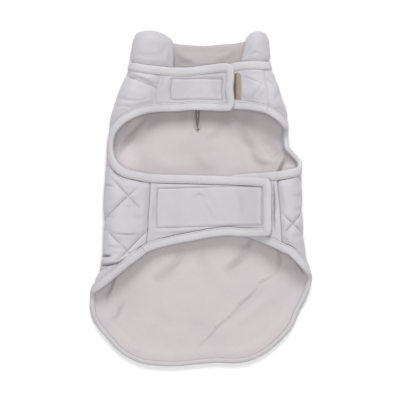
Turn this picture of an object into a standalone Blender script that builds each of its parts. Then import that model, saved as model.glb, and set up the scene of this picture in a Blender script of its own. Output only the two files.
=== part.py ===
"""A padded dog winter coat, lying flat on its back layer with the belly side up.

The cloth is one folded sheet. It lies flat as the back, turns over in a soft fold at each side
and comes back above itself as the front. A place on the cloth is a pattern point (s, y): s is the
way along the cloth, counted from the middle of the back, and y is the way up the coat. Sizes are
in millimetres until a mesh is made, which is in metres. +X is to the right, +Y towards the collar
and +Z up, with the origin under the middle of the coat.
"""
from collections import namedtuple

import bmesh
import bpy
import numpy as np
from mathutils import Vector
from mathutils.geometry import delaunay_2d_cdt, tessellate_polygon

MM = 0.001

# The cloth's build-up, counted outwards from the middle of the shell.
BACK_Z = 1.0
SHELL_HALF = 1.0
LINING_NEAR = -1.3
LINING_FAR = -2.3
BINDING_GAP = 0.6
BINDING_CLOTH = 0.8
BINDING_WRAP = 1.2
BINDING_MIDDLE = 5.0
BINDING_WIDTH = 10.0
HEM_LAP = 6.0
SEAM_GAP = 0.3

# Side folds: a value above -1 makes the turn tighter at its crest than where it starts and ends.
FOLD_POINT = -0.3
# Between the folds the front layer sinks to this height over this distance.
FRONT_REST = 9.5
FRONT_REACH = 75.0

# The hem of the back is held up by its binding.
HEM_LIFT = 1.5
HEM_LIFT_WIDTH = 11.0
HEM_LIFT_END = 24.0

# Quilting: stitch lines run both ways at 45 degrees, this far apart along the cloth, and two of
# them cross at QUILT_MIDDLE.
QUILT_REPEAT = 71.2
QUILT_MIDDLE = (-23.8, 3.8)
QUILT_PUFF = 2.2
QUILT_SOFTNESS = 8.0
QUILT_TOP = 75.0
QUILT_BOTTOM = -230.0
QUILT_ROWS = 6
# The puffs grow to full height over this distance, and over this share of a side fold.
PUFF_REACH = 10.0
PUFF_TURN = 0.35

# A strap lies this far above the tab that it closes on.
STRAP_LIFT = 6.5
CHEST_RAMP = (-56.0, -22.0)
BELLY_RAMP = (-66.0, -17.0)

# Hook and loop tape, counted from the middle of the cloth that carries it.
LOOP_TAPE = (1.5, 2.4)
HOOK_TAPE = (-3.7, -2.8)

# The binding's rounded edge, the share of a side fold from which the neck is bound, and the share
# over which the binding takes up its width there.
BINDING_ROUND = 1.3
NECK_BOUND_FROM = 0.35
NECK_HELD = (0.1, 0.3)

# Spacing of the mesh points: fine where the cloth folds, from FINE_FROM before the fold's start, and
# coarse where it is flat, up to COARSE_TO before it.
FINE = 12.0
FINE_FROM = 10.0
COARSE = 32.0
COARSE_TO = 20.0
COLLAR_COARSE = 19.0
COLLAR_FINE_FROM = 6.0
COLLAR_COARSE_TO = 12.0
STRAP_STEP = 9.5
QUILT_STEP = 10.0
QUILT_FROM = 4.0
SEAM_STEP = 11.0
# An edge's stations: their widest spacing, and the turn of its direction between two.
LONGEST = 18.0
BEND = 0.5
# How far free points stay from edges, seams, stitch lines, the slit and the hem's inner line.
EDGE_CLEAR = 4.0
SEAM_CLEAR = 2.5
STITCH_CLEAR = 3.5
SLIT_CLEAR = 10.0
HEM_CLEAR = 7.0
# The bow that parts points in line. Of a moved line: the most points that one tight corner takes,
# and the slack of the test for a place where it turns back.
UNSTRAIGHT = 1e-4
LOOP_REACH = 80
CORNER_SLACK = 0.04
# Edges sharper than this many degrees are shaded as edges.
SHARP = 40.0

# The outer lines of the side folds and how far the cloth rises through them, by height.
Fold = namedtuple("Fold", "y left right rise")
FOLDS = [
    Fold(-222, -140.0, 121.0, 8.0),
    Fold(-190, -128.0, 121.0, 9.0),
    Fold(-160, -139.5, 126.0, 11.0),
    Fold(-140, -143.0, 131.5, 13.5),
    Fold(-120, -141.5, 138.0, 17.0),
    Fold(-104, -135.0, 142.0, 20.0),
    Fold(-88, -128.5, 138.5, 22.5),
    Fold(-72, -124.5, 133.5, 24.0),
    Fold(-30, -124.5, 129.5, 26.0),
    Fold(10, -123.0, 128.5, 26.0),
    Fold(46, -121.5, 129.0, 27.0),
    Fold(70, -120.0, 111.5, 28.0),
    Fold(95, -116.0, 111.0, 28.0),
    Fold(120, -110.5, 107.0, 28.0),
    Fold(140, -104.0, 100.5, 28.0),
    Fold(160, -95.5, 92.5, 27.0),
    Fold(179, -91.0, 87.5, 26.0),
    Fold(200, -87.0, 86.0, 23.0),
    Fold(222, -82.0, 83.0, 19.0),
]

# Edges seen from above, each a run of stretches: the layer it is on and its places (x, y) there.
# At a crest only y is given. The first and last places only steer a bound edge's ends.
HEM = [
    ("left", [(-56, -64), (-72, -70.5), (-95, -88), (-113, -103), (-129, -116)]),
    ("left crest", [-127]),
    ("back", [
        (-144, -139), (-139, -159.5), (-120, -184.5), (-103.5, -201), (-79, -213.5),
        (-54, -217), (-33, -217.5), (0, -214.5), (18.5, -213), (45.5, -213.5), (60, -211.5),
        (80.5, -203), (101.5, -186.5), (118, -168), (128.5, -145), (138.5, -121)]),
    ("right crest", [-106.5]),
    ("right", [(132, -91.5), (114.5, -73), (106.5, -69), (97, -64.5)]),
]
LEG_RIGHT = [
    ("right", [(79, 34.5), (98.5, 36), (115.5, 39), (127, 42.5)]),
    ("right crest", [49, 60, 73, 85]),
    ("right", [(107, 93), (94.5, 104.5), (83.5, 111), (61.5, 115.5)]),
]
NECK = [
    ("right", [(66, 179), (82, 178.5)]),
    ("right crest", [178.5]),
    ("back", [(74, 177), (44, 174), (-1.5, 172), (-47, 174), (-78, 176.5)]),
    ("left crest", [178]),
    ("left", [(-80.5, 176), (-68.5, 174), (-57, 173), (-35.5, 171)]),
]
LEG_LEFT = [("left", [
    (-35, 114), (-56.5, 113), (-68, 111.5), (-84, 106.5), (-99, 98), (-112, 83.5), (-115, 66.5),
    (-109.5, 50.5), (-99, 40.5), (-82.5, 36), (-66, 33), (-35, 32)])]
CHEST_STRAP = [("left", [
    (-68.5, 174), (-57, 173), (-35.5, 171), (-15, 171.5), (10.5, 174.5), (32.5, 176.5),
    (40.5, 174.5), (44.5, 169.5), (45, 157.5), (45, 131.5), (44.5, 120.5), (40, 115.5),
    (30, 114.5), (10.5, 115), (-9.5, 115.5), (-35, 114), (-56.5, 113), (-68, 111.5)])]
CHEST_TAB = [("right", [
    (94.5, 104.5), (83.5, 111), (61.5, 115.5), (48, 116.5), (31, 117.5), (-13, 118.5),
    (-19, 123), (-20.5, 132), (-20.5, 152), (-19, 162), (-13, 166.5), (5, 169.5),
    (24.5, 172.5), (37.5, 175.5), (48, 178), (66, 179), (82, 178.5), (87, 178.5)])]
BELLY_STRAP = [("left", [
    (-82.5, 36), (-66, 33), (-35, 32), (1.5, 31), (50.5, 29.5), (80.5, 27.5), (89.5, 25.5),
    (92.5, 19), (93, -1), (93, -29.5), (92.5, -42), (89, -47), (79, -48), (56.5, -48.5),
    (33.5, -47.5), (14, -49.5), (-2.5, -52.5), (-34, -58.5), (-56, -64), (-72, -70.5),
    (-95, -88)])]
BELLY_TAB = [("right", [
    (114.5, -73), (106.5, -69), (97, -64.5), (79, -56.5), (68, -52), (58.5, -48), (45.5, -45.5),
    (27, -44.5), (5, -43.5), (-9, -42), (-14, -37), (-14.5, -20.5), (-14.5, -1), (-14, 14.5),
    (-8.5, 19.5), (6.5, 22), (24.5, 27), (39, 30.5), (54.5, 33), (79, 34.5), (98.5, 36),
    (115.5, 39)])]
COLLAR_BOTTOM = [
    ("left", [(-35, 171), (-57, 173), (-68.5, 174), (-80.5, 176)]),
    ("left crest", [178]),
    ("back", [(-78, 176.5), (-47, 174), (-1.5, 172), (44, 174), (74, 177)]),
    ("right crest", [178.5]),
    ("right", [(82, 178.5), (66, 179), (51, 179)]),
]
COLLAR_TOP = [
    ("right", [(51, 179), (54.5, 192), (56.5, 202), (59, 209.5), (64.5, 215.5), (73, 218)]),
    ("right crest", [215.5]),
    ("back", [
        (66, 208.5), (50.5, 204), (26, 201.5), (7, 200), (-18, 201), (-37, 203.5), (-56, 208.5),
        (-69, 213)]),
    ("left crest", [216.5]),
    ("left", [
        (-65.5, 218.5), (-54, 216.5), (-45, 212.5), (-38.5, 207.5), (-36.5, 202.5),
        (-35, 194.5), (-35, 171)]),
]
# Places between a seam's ends, from its lower end up.
BELLY_LEFT_SEAM = ("left", [(-69, -37.5), (-67.5, -7.5)])
BELLY_RIGHT_SEAM = ("right", [(104, -37.5), (102, -7.5)])

# Stitch lines of the chest, which the shoulders pull askew: side, lower end and upper end.
CHEST_QUILTING = [
    ("left", (-57, 144.5), (-95, 161)),
    ("right", (88, 152), (105, 128)),
]

# Tapes seen from above: the side they belong to, and their corners from the lower left one round.
Tape = namedtuple("Tape", "side corners")
CHEST_HOOK = Tape("left", [(-40, 129), (27, 129), (27, 157), (-40, 157)])
CHEST_LOOP = Tape("right", [(-6.5, 132), (53, 129.5), (53, 165), (-6.5, 152)])
BELLY_HOOK = Tape("left", [(-57, -34), (80, -34), (80, 15.5), (-57, 15.5)])
BELLY_LOOP = Tape("right", [(-2, -31), (82, -31), (82, 8), (-2, 8)])

# The leash slit in the back, a pointed oval, and the welt that holds its edge.
SLIT_MIDDLE = (-4.9, 115.0)
SLIT_HALF_LENGTH = 25.0
SLIT_HALF_WIDTH = 3.5
SLIT_POINTS = 9
WELT_WIDTH = 2.5
WELT_CLOTH = 0.7
WELT_GAP = 0.3
WELT_DEPTH = 0.6

# Finishes: sRGB colour and roughness.
SHELL_CLOTH = ((206, 203, 209), 0.55)
FLEECE = ((199, 191, 193), 0.95)
BINDING_TAPE = ((205, 202, 206), 0.6)
HOOK = ((200, 198, 202), 0.7)
LOOP = ((170, 155, 147), 0.9)

# The turn of a side fold for a rise and a fold length of 1: how far out and how far up it goes.
TURN = np.linspace(0.0, 1.0, 401)
HEADING = np.pi * (TURN + FOLD_POINT * np.sin(2 * np.pi * TURN) / (2 * np.pi))
HALFWAY = len(TURN) // 2


def summed(values):
    """The running integral of values over TURN."""
    steps = (values[1:] + values[:-1]) / 2 * np.diff(TURN)
    return np.concatenate([[0.0], np.cumsum(steps)])


OUT = summed(np.cos(HEADING))
UP = summed(np.sin(HEADING))


def ease(t):
    """0 below 0, 1 above 1, and a smooth S between."""
    t = np.clip(t, 0.0, 1.0)
    return t * t * (3 - 2 * t)


def fold_column(column, y):
    """A column of FOLDS at the heights y, as a smooth curve that never overshoots its rows."""
    rows_y = np.array([row.y for row in FOLDS], float)
    rows_v = np.array([getattr(row, column) for row in FOLDS], float)
    slopes = np.diff(rows_v) / np.diff(rows_y)
    before, after = slopes[:-1], slopes[1:]
    same_way = before * after > 0
    both = np.where(same_way, before + after, 1.0)
    inner = np.where(same_way, 2 * before * after / both, 0.0)
    tangents = np.concatenate([[slopes[0]], inner, [slopes[-1]]])
    row = np.clip(np.searchsorted(rows_y, y) - 1, 0, len(rows_y) - 2)
    span = rows_y[row + 1] - rows_y[row]
    t = np.clip((y - rows_y[row]) / span, 0.0, 1.0)
    rising = t * t * (3 - 2 * t)
    return (rows_v[row] * (1 - rising) + rows_v[row + 1] * rising
            + span * tangents[row] * t * (1 - t) ** 2
            - span * tangents[row + 1] * t * t * (1 - t))


def fold_sizes(y):
    """At the heights y: the rise, the cloth in one fold, and where the left and right folds start."""
    rise = fold_column("rise", y)
    length = rise / UP[-1]
    bulge = length * OUT.max()
    return rise, length, fold_column("left", y) + bulge, fold_column("right", y) - bulge


def pattern(stretches):
    """Pattern points of an edge that is given as seen from above."""
    points = []
    for layer, places in stretches:
        side = -1 if layer.startswith("left") else 1
        for place in places:
            x, y = (None, place) if layer.endswith("crest") else place
            _, length, start_left, start_right = fold_sizes(np.array([y], float))
            length = length[0]
            if layer == "back":
                side = -1 if x < 0 else 1
            start = start_left[0] if side < 0 else start_right[0]
            if layer.endswith("crest"):
                past = length / 2
            else:
                beyond = side * (x - start)
                share = min(beyond / length, OUT.max())
                if layer == "back" and beyond > 0:
                    past = length * np.interp(share, OUT[:HALFWAY + 1], TURN[:HALFWAY + 1])
                elif layer == "back":
                    past = beyond
                elif beyond > 0:
                    past = length * np.interp(share, OUT[HALFWAY:][::-1], TURN[HALFWAY:][::-1])
                else:
                    past = length - beyond
            points.append((start + side * past, y))
    return np.array(points, float)


def fold_place(points):
    """For pattern points: side (-1 left, 1 right), start of that fold, cloth past it, fold length."""
    s, y = points.T
    rise, length, start_left, start_right = fold_sizes(y)
    past_left, past_right = start_left - s, s - start_right
    on_left = past_left > past_right
    side = np.where(on_left, -1.0, 1.0)
    start = np.where(on_left, start_left, start_right)
    past = np.where(on_left, past_left, past_right)
    return side, start, past, length


def turned(points):
    """How much of its side fold each pattern point has passed, from 0 on the back to 1 in front."""
    _, _, past, length = fold_place(points)
    return np.clip(past / length, 0.0, 1.0)


def distance(points, lines):
    """The distance from each pattern point to the nearest of the polylines."""
    best = np.full(len(points), np.inf)
    for line in lines:
        start, step = line[:-1], np.diff(line, axis=0)
        to = points[:, None, :] - start[None]
        t = np.clip((to * step).sum(2) / np.maximum((step ** 2).sum(1), 1e-12), 0, 1)
        best = np.minimum(best, np.linalg.norm(to - t[..., None] * step, axis=2).min(1))
    return best


def folded(points):
    """Where the middle of the shell lies for pattern points."""
    s, y = points.T
    rise, _, start_left, start_right = fold_sizes(y)
    side, start, past, length = fold_place(points)
    turn = np.clip(past / length, 0.0, 1.0)
    out = length * np.interp(turn, TURN, OUT) - np.maximum(past - length, 0.0)
    x = np.where(past > 0, start + side * out, s)
    z = BACK_Z + length * np.interp(turn, TURN, UP)
    sunk = ease((x - start_left) / FRONT_REACH) * ease((start_right - x) / FRONT_REACH)
    z = np.where(past > length, z - (BACK_Z + rise - FRONT_REST) * sunk, z)
    near_hem = ease((HEM_LIFT_END - distance(points, [HEM_LINE])) / (HEM_LIFT_END - HEM_LIFT_WIDTH))
    z = z + HEM_LIFT * near_hem * (1 - ease(turn * 2))
    return np.stack([x, y, z], axis=1)


def outward_from(surface, points):
    """The unit direction away from the coat's inside, on a surface given as a function."""
    reach = 0.2
    along, up = np.array([reach, 0.0]), np.array([0.0, reach])
    across = surface(points + along) - surface(points - along)
    upward = surface(points + up) - surface(points - up)
    normal = np.cross(upward, across)
    return normal / np.linalg.norm(normal, axis=1)[:, None]


def cloth(points, ramp=None):
    """Middle surface and outward direction at pattern points. Over its ramp, a strap climbs from
    the cloth it is sewn to on to the tab that it closes on."""
    if not ramp:
        return folded(points), outward_from(folded, points)

    def climbing(places):
        base = folded(places)
        lift = STRAP_LIFT * ease((base[:, 0] - ramp[0]) / (ramp[1] - ramp[0]))
        return base + outward_from(folded, places) * lift[:, None]

    return climbing(points), outward_from(climbing, points)


def directions(line):
    """Unit tangents of a polyline at its points."""
    steps = np.diff(line, axis=0)
    steps = steps / np.linalg.norm(steps, axis=1)[:, None]
    tangents = np.vstack([steps[:1], steps[:-1] + steps[1:], steps[-1:]])
    return tangents / np.linalg.norm(tangents, axis=1)[:, None]


def metric(points):
    """For pattern points, the 2 by 2 form that turns a pattern step into its squared length on the
    folded cloth."""
    reach = 0.2
    slopes = [(folded(points + step) - folded(points - step)) / (2 * reach)
              for step in (np.array([reach, 0.0]), np.array([0.0, reach]))]
    return np.array([[(a * b).sum(1) for a in slopes] for b in slopes]).transpose(2, 0, 1)


def spans(points, others):
    """The way on the folded cloth from each of the points to each of the others."""
    steps = others[None] - points[:, None]
    return np.sqrt(np.einsum("ijk,ikl,ijl->ij", steps, metric(points), steps))


def outward(line):
    """Steps of 1 mm on the folded cloth, square to a line and away from the cloth on its left."""
    tangents = directions(line)
    square = np.stack([tangents[:, 1], -tangents[:, 0]], axis=1)
    steps = np.linalg.solve(metric(line), square[:, :, None])[:, :, 0]
    return steps / np.sqrt((steps * square).sum(1))[:, None]


def smooth_curve(controls, steps=24):
    """A curve through the control points; the first and last only steer its ends."""
    knots = np.concatenate([[0], np.cumsum(np.sqrt(np.linalg.norm(np.diff(controls, axis=0), axis=1)))])
    spans = np.diff(knots)
    slopes = np.diff(controls, axis=0) / spans[:, None]
    before, after = spans[:-1, None], spans[1:, None]
    tangents = (slopes[:-1] * after + slopes[1:] * before) / (before + after)
    t = np.linspace(0, 1, steps, endpoint=False)[:, None]
    pieces = []
    for i in range(1, len(controls) - 2):
        span = spans[i]
        pieces.append(
            controls[i] * (1 - ease(t)) + controls[i + 1] * ease(t)
            + span * tangents[i - 1] * t * (1 - t) ** 2 - span * tangents[i] * t * t * (1 - t))
    return np.vstack(pieces + [controls[-2:-1]])


def steered(controls):
    """Control points with an end point added before and after, mirrored from their neighbours."""
    return np.vstack([2 * controls[:1] - controls[1:2], controls, 2 * controls[-1:] - controls[-2:-1]])


def resample(line, at):
    """Points of a polyline at the given lengths along it."""
    run = np.concatenate([[0], np.cumsum(np.linalg.norm(np.diff(line, axis=0), axis=1))])
    return np.stack([np.interp(at, run, line[:, k]) for k in (0, 1)], axis=1), run[-1]


def trimmed(line, cut):
    """A polyline shortened by cut at each end."""
    run = np.concatenate([[0], np.cumsum(np.linalg.norm(np.diff(line, axis=0), axis=1))])
    inner = run[(run > cut) & (run < run[-1] - cut)]
    return resample(line, np.concatenate([[cut], inner, [run[-1] - cut]]))[0]


Edge = namedtuple("Edge", "dense stations")


def stationed(line, ramp=None):
    """An edge: a dense line, and stations on it that lie closer where the line or the cloth bends."""
    places, normals = cloth(line, ramp)
    step = np.linalg.norm(np.diff(places, axis=0), axis=1)
    bend = np.linalg.norm(np.diff(normals, axis=0), axis=1)
    bend = bend + np.linalg.norm(np.diff(directions(places), axis=0), axis=1)
    cost = np.concatenate([[0], np.cumsum(step / LONGEST + bend / BEND)])
    wanted = np.linspace(0, cost[-1], max(2, int(round(cost[-1])) + 1))
    return Edge(line, np.interp(wanted, cost, np.arange(len(line))))


def at_stations(line, stations):
    """A dense line's points at an edge's stations."""
    count = np.arange(len(line))
    return np.stack([np.interp(stations, count, line[:, k]) for k in (0, 1)], axis=1)


def inset(line, amount):
    """A line moved into the cloth by an amount, which may vary along it."""
    return line - outward(line) * np.broadcast_to(amount, len(line))[:, None]


def untangled(line):
    """A moved line without the loops that it makes round tight corners: the points of each loop
    go to where the line crosses itself, those of the widest loop last."""
    line = line.copy()
    start, step = line[:-1], np.diff(line, axis=0)
    first, last = np.triu_indices(len(step), 2)
    near = last - first < LOOP_REACH
    first, last = first[near], last[near]
    apart = start[last] - start[first]
    turn = np.cross(step[first], step[last])
    turn[np.abs(turn) < 1e-9] = np.inf
    along, back = np.cross(apart, step[last]) / turn, np.cross(apart, step[first]) / turn
    meets = (along >= 0) & (along <= 1) & (back >= 0) & (back <= 1) & np.isfinite(turn)
    for k in sorted(np.flatnonzero(meets), key=lambda k: last[k] - first[k]):
        line[first[k] + 1:last[k] + 1] = start[first[k]] + step[first[k]] * along[k]
    return line


def inward(edge, width):
    """The stations of an edge moved into the cloth. Round a tight corner they meet where the moved
    line crosses itself, and where it only turns back, they meet in the mitre of what is beside."""
    line = edge.dense
    moved = untangled(inset(line, width))
    apart = spans(moved, line)
    crossed = apart.min(1) < np.diag(apart) * (1 - CORNER_SLACK)
    backwards = (np.diff(moved, axis=0) * np.diff(line, axis=0)).sum(1) < 0
    tangents = directions(line)
    change = np.diff(crossed.astype(int))
    for before, last in zip(np.flatnonzero(change == 1), np.flatnonzero(change == -1)):
        if backwards[before:last + 1].any():
            along = np.array([tangents[before], -tangents[last + 1]]).T
            ahead = np.linalg.solve(along, moved[last + 1] - moved[before])[0]
            moved[before + 1:last + 1] = moved[before] + tangents[before] * ahead
    return at_stations(moved, edge.stations)


def inside(points, loop):
    """Whether each pattern point is inside a closed loop."""
    x, y = points[:, :1], points[:, 1:]
    a, b = loop, np.roll(loop, -1, axis=0)
    crosses = (a[:, 1] > y) != (b[:, 1] > y)
    slope = (b[:, 0] - a[:, 0]) / np.where(b[:, 1] == a[:, 1], 1.0, b[:, 1] - a[:, 1])
    return (crosses & (x < a[:, 0] + (y - a[:, 1]) * slope)).sum(1) % 2 == 1


def regions(triangles, borders):
    """The triangles in groups that no border divides, as arrays of their numbers."""
    beside = {}
    for number, (a, b, c) in enumerate(triangles):
        for edge in ((a, b), (b, c), (c, a)):
            beside.setdefault(tuple(sorted(edge)), []).append(number)
    near = [[] for _ in triangles]
    for edge, pair in beside.items():
        if len(pair) == 2 and edge not in borders:
            near[pair[0]].append(pair[1])
            near[pair[1]].append(pair[0])
    found, seen = [], np.zeros(len(triangles), bool)
    for first in range(len(triangles)):
        if seen[first]:
            continue
        seen[first] = True
        group, waiting = [], [first]
        while waiting:
            number = waiting.pop()
            group.append(number)
            for other in near[number]:
                if not seen[other]:
                    seen[other] = True
                    waiting.append(other)
        found.append(np.array(group))
    return found


def bowed(points):
    """Pattern points bent a little, so that no three points of a straight edge are in line."""
    return points + UNSTRAIGHT * points[:, ::-1] ** 2


def fill(loops, ribs, extra):
    """Points and triangles of the area in the first loop and outside the others, with a row of
    triangle edges along each rib."""
    points = np.vstack(loops + ribs + [extra])
    edges, first = [], 0
    for loop in loops:
        count = len(loop)
        edges += [(first + i, first + (i + 1) % count) for i in range(count)]
        first += count
    rims = len(edges)
    for rib in ribs:
        edges += [(first + i, first + i + 1) for i in range(len(rib) - 1)]
        first += len(rib)
    found = delaunay_2d_cdt([Vector(p) for p in bowed(points)], edges, [], 0, 1e-4)
    points = points[[origin[0] for origin in found[3]]]
    triangles = np.array(found[2])
    borders = {tuple(sorted(edge)) for edge, origin in zip(found[1], found[4])
               if any(number < rims for number in origin)}
    a, b, c = (bowed(points)[triangles[:, k]] for k in range(3))
    area = np.cross(b - a, c - a)
    triangles[area < 0] = triangles[area < 0][:, ::-1]
    keep = np.zeros(len(triangles), bool)
    for region in regions(triangles, borders):
        largest = region[np.argmax(np.abs(area[region]))]
        middle = (a + b + c)[largest][None] / 3
        within = [inside(middle, bowed(loop))[0] for loop in loops]
        keep[region] = within[0] and not any(within[1:])
    triangles = triangles[keep]
    used = np.unique(triangles)
    number = np.full(len(points), -1)
    number[used] = np.arange(len(used))
    return points[used], number[triangles]


def staggered(low, high, step):
    """A triangular grid of points over a box."""
    rows = []
    for k, y in enumerate(np.arange(low[1], high[1], step * np.sqrt(3) / 2)):
        xs = np.arange(low[0] + (k % 2) * step / 2, high[0], step)
        rows.append(np.stack([xs, np.full(len(xs), y)], axis=1))
    return np.vstack(rows)


def linear(colour):
    """An sRGB colour of 0 to 255 as linear light."""
    part = np.array(colour) / 255
    return tuple(np.where(part <= 0.04045, part / 12.92, ((part + 0.055) / 1.055) ** 2.4)) + (1.0,)


def finish(name, look):
    """The material of one piece."""
    material = bpy.data.materials.new(name)
    material.use_nodes = True
    shader = material.node_tree.nodes["Principled BSDF"]
    shader.inputs["Base Color"].default_value = linear(look[0])
    shader.inputs["Roughness"].default_value = look[1]
    shader.inputs["Metallic"].default_value = 0.0
    return material


def solid(name, points, triangles, look):
    """One closed piece; points that coincide become one, and triangles without area are left out."""
    _, first, number = np.unique(np.round(points, 5), axis=0, return_index=True, return_inverse=True)
    points, triangles = points[first], number.ravel()[triangles]
    a, b, c = triangles.T
    triangles = triangles[(a != b) & (b != c) & (c != a)]
    shape = bmesh.new()
    corners = [shape.verts.new(Vector(p) * MM) for p in points]
    for triangle in triangles:
        shape.faces.new([corners[i] for i in triangle])
    bmesh.ops.recalc_face_normals(shape, faces=shape.faces)
    mesh = bpy.data.meshes.new(name)
    shape.to_mesh(mesh)
    shape.free()
    mesh.shade_smooth()
    mesh.set_sharp_from_angle(angle=np.radians(SHARP))
    mesh.materials.append(finish(name, look))
    piece = bpy.data.objects.new(name, mesh)
    bpy.context.scene.collection.objects.link(piece)
    return piece


def wall(name, area, outer, inner, look, ramp=None):
    """A cloth wall over an area of the pattern, between two distances from the middle surface."""
    points, triangles = area
    places, normals = cloth(points, ramp)
    count = len(points)
    top = places + normals * np.broadcast_to(outer, count)[:, None]
    bottom = places + normals * np.broadcast_to(inner, count)[:, None]
    sides = np.sort(np.vstack([triangles[:, [0, 1]], triangles[:, [1, 2]], triangles[:, [2, 0]]]), axis=1)
    _, first, uses = np.unique(sides, axis=0, return_index=True, return_counts=True)
    rim = np.vstack([triangles[:, [0, 1]], triangles[:, [1, 2]], triangles[:, [2, 0]]])[first[uses == 1]]
    a, b = rim.T
    faces = np.vstack([
        triangles[:, ::-1], triangles + count,
        np.stack([a, b, b + count], axis=1), np.stack([a, b + count, a + count], axis=1)])
    return solid(name, np.vstack([top, bottom]), faces, look)


def carried(name, edge, profile, look, ramp=None, closed=False):
    """A profile carried along an edge, or round a closed loop of points. Its rows are (inwards from
    the edge, outwards from the cloth); a row beyond the edge goes straight on from it."""
    rings = []
    line = edge if closed else at_stations(edge.dense, edge.stations)
    if closed:
        away = outward(np.vstack([line[-1:], line, line[:1]]))[1:-1]
    else:
        away = at_stations(outward(edge.dense), edge.stations)
    here, normal = cloth(line, ramp)
    beyond = here - cloth(line - away * 0.1, ramp)[0]
    beyond = beyond / np.linalg.norm(beyond, axis=1)[:, None]
    for width, height in profile:
        if width < 0:
            rings.append(here + beyond * -width + normal * height)
        else:
            places, normals = cloth(line - away * width if closed else inward(edge, width), ramp)
            rings.append(places + normals * height)
    rings = np.stack(rings, axis=1)
    count, around_count = rings.shape[:2]
    faces = []
    for i in range(count if closed else count - 1):
        here, there = i * around_count, (i + 1) % count * around_count
        for j in range(around_count):
            k = (j + 1) % around_count
            if profile[j][0] > profile[k][0]:
                faces += [(here + j, there + j, there + k), (here + j, there + k, here + k)]
            else:
                faces += [(here + j, there + j, here + k), (there + j, there + k, here + k)]
    if not closed:
        cap = tessellate_polygon([[Vector((w, h, 0.0)) for w, h in profile]])
        last = (count - 1) * around_count
        faces += [tuple(t) for t in cap]
        faces += [tuple(last + i for i in t) for t in cap]
    return solid(name, rings.reshape(-1, 3), np.array(faces), look)


def binding_profile(with_middle, lap):
    """The folded tape: over the shell, round the edge and back under the lining, up to its lap."""
    top = SHELL_HALF + BINDING_GAP
    low = LINING_FAR - BINDING_GAP
    over, under = top + BINDING_CLOTH, low - BINDING_CLOTH
    middle = [BINDING_MIDDLE] if with_middle else []
    below = [w for w in middle if w < lap - BINDING_WRAP]
    outer = [(BINDING_WIDTH, over)] + [(w, over) for w in middle] + [
        (0.0, over), (-BINDING_WRAP, over - BINDING_ROUND), (-BINDING_WRAP, under + BINDING_ROUND),
        (0.0, under)]
    outer += [(w, under) for w in below] + [(lap, under)]
    inner = [(lap, low)] + [(w, low) for w in below] + [
        (-BINDING_GAP, low), (-BINDING_GAP, top)]
    inner += [(w, top) for w in middle] + [(BINDING_WIDTH, top)]
    return outer + inner


def binding(name, edge, with_middle=True, ramp=None, lap=BINDING_WIDTH):
    """The binding of one edge, a little short of the seams at its ends."""
    step = np.linalg.norm(np.diff(edge.dense, axis=0), axis=1)
    stations = edge.stations.copy()
    stations[0] += SEAM_GAP / step[int(stations[0])]
    stations[-1] -= SEAM_GAP / step[int(np.ceil(stations[-1])) - 1]
    carried(name, Edge(edge.dense, stations), binding_profile(with_middle, lap), BINDING_TAPE, ramp)


def bound_edge(stretches, ramp=None):
    """The cloth's own edge, inside its binding, from seam to seam."""
    line = inset(smooth_curve(pattern(stretches)), BINDING_WRAP)
    return stationed(trimmed(line, SEAM_GAP / 2), ramp)


def points_of(edge):
    """An edge's stations as pattern points."""
    return at_stations(edge.dense, edge.stations)


def seam(start, end, places, shift):
    """A seam line between two edges' ends, by the places between them, without its ends."""
    middles = pattern([places]) + [shift, 0.0] if places else np.empty((0, 2))
    line = np.vstack([start, middles, end])
    length = np.linalg.norm(np.diff(line, axis=0), axis=1).sum()
    count = max(2, int(round(length / SEAM_STEP)) + 1)
    return resample(line, np.linspace(0, length, count))[0]


def binding_ribs(edge, seams, widths):
    """Lines across the cloth at an edge's stations and slantwise between them, as a binding's
    triangles run, so that cloth and binding bend together."""
    rows = np.stack([points_of(edge)] + [inward(edge, width) for width in widths], axis=1)
    clear = (distance(rows[:, 1:].reshape(-1, 2), seams) > SEAM_CLEAR).reshape(len(rows), -1).all(1)
    rows = rows[clear]
    slants = np.stack([rows[:-1, 1:], rows[1:, :-1]], axis=2).reshape(-1, 2, 2)
    return list(rows) + list(slants)


def joined(*lines):
    """One closed loop from lines that follow each other."""
    return np.vstack([line[:-1] for line in lines])


def slit_loop():
    """The leash slit's edge, clockwise, so that the cloth is on its left."""
    t = np.linspace(-1, 1, SLIT_POINTS + 1)[:-1]
    half = SLIT_HALF_WIDTH * (1 - t ** 2)
    left = np.stack([SLIT_MIDDLE[0] - half, SLIT_MIDDLE[1] + SLIT_HALF_LENGTH * t], axis=1)
    right = np.stack([SLIT_MIDDLE[0] + half, SLIT_MIDDLE[1] - SLIT_HALF_LENGTH * t], axis=1)
    return np.vstack([left, right])


def quilt_lines():
    """The diamond lattice below the chest and the askew lines on it, as pattern polylines."""
    lines = []
    for way in (1, -1):
        for k in range(-QUILT_ROWS, QUILT_ROWS + 1):
            y = np.array([QUILT_BOTTOM, QUILT_TOP])
            s = QUILT_MIDDLE[0] + (k * QUILT_REPEAT - (y - QUILT_MIDDLE[1])) * way
            lines.append(np.stack([s, y], axis=1))
    chest = []
    for side, low, high in CHEST_QUILTING:
        chest.append(pattern([(side, [low, high])]))
    return lines, chest


def to_stitch(points):
    """The distance from pattern points to the nearest stitch line."""
    lattice, chest = quilt_lines()
    return np.where(points[:, 1] < QUILT_TOP, distance(points, lattice), distance(points, chest))


def puffed(points, edges, seams):
    """How far the padding stands out: full between the stitch lines, none at them, at the edges
    and where the back lies on the ground."""
    bound = spans(points, np.vstack([edge.dense for edge in edges])).min(1)
    free = ease((bound - BINDING_WIDTH - 1) / PUFF_REACH) * ease(distance(points, seams) / PUFF_REACH)
    raised = ease(turned(points) / PUFF_TURN)
    return QUILT_PUFF * (1 - np.exp(-to_stitch(points) / QUILT_SOFTNESS)) * free * raised


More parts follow.
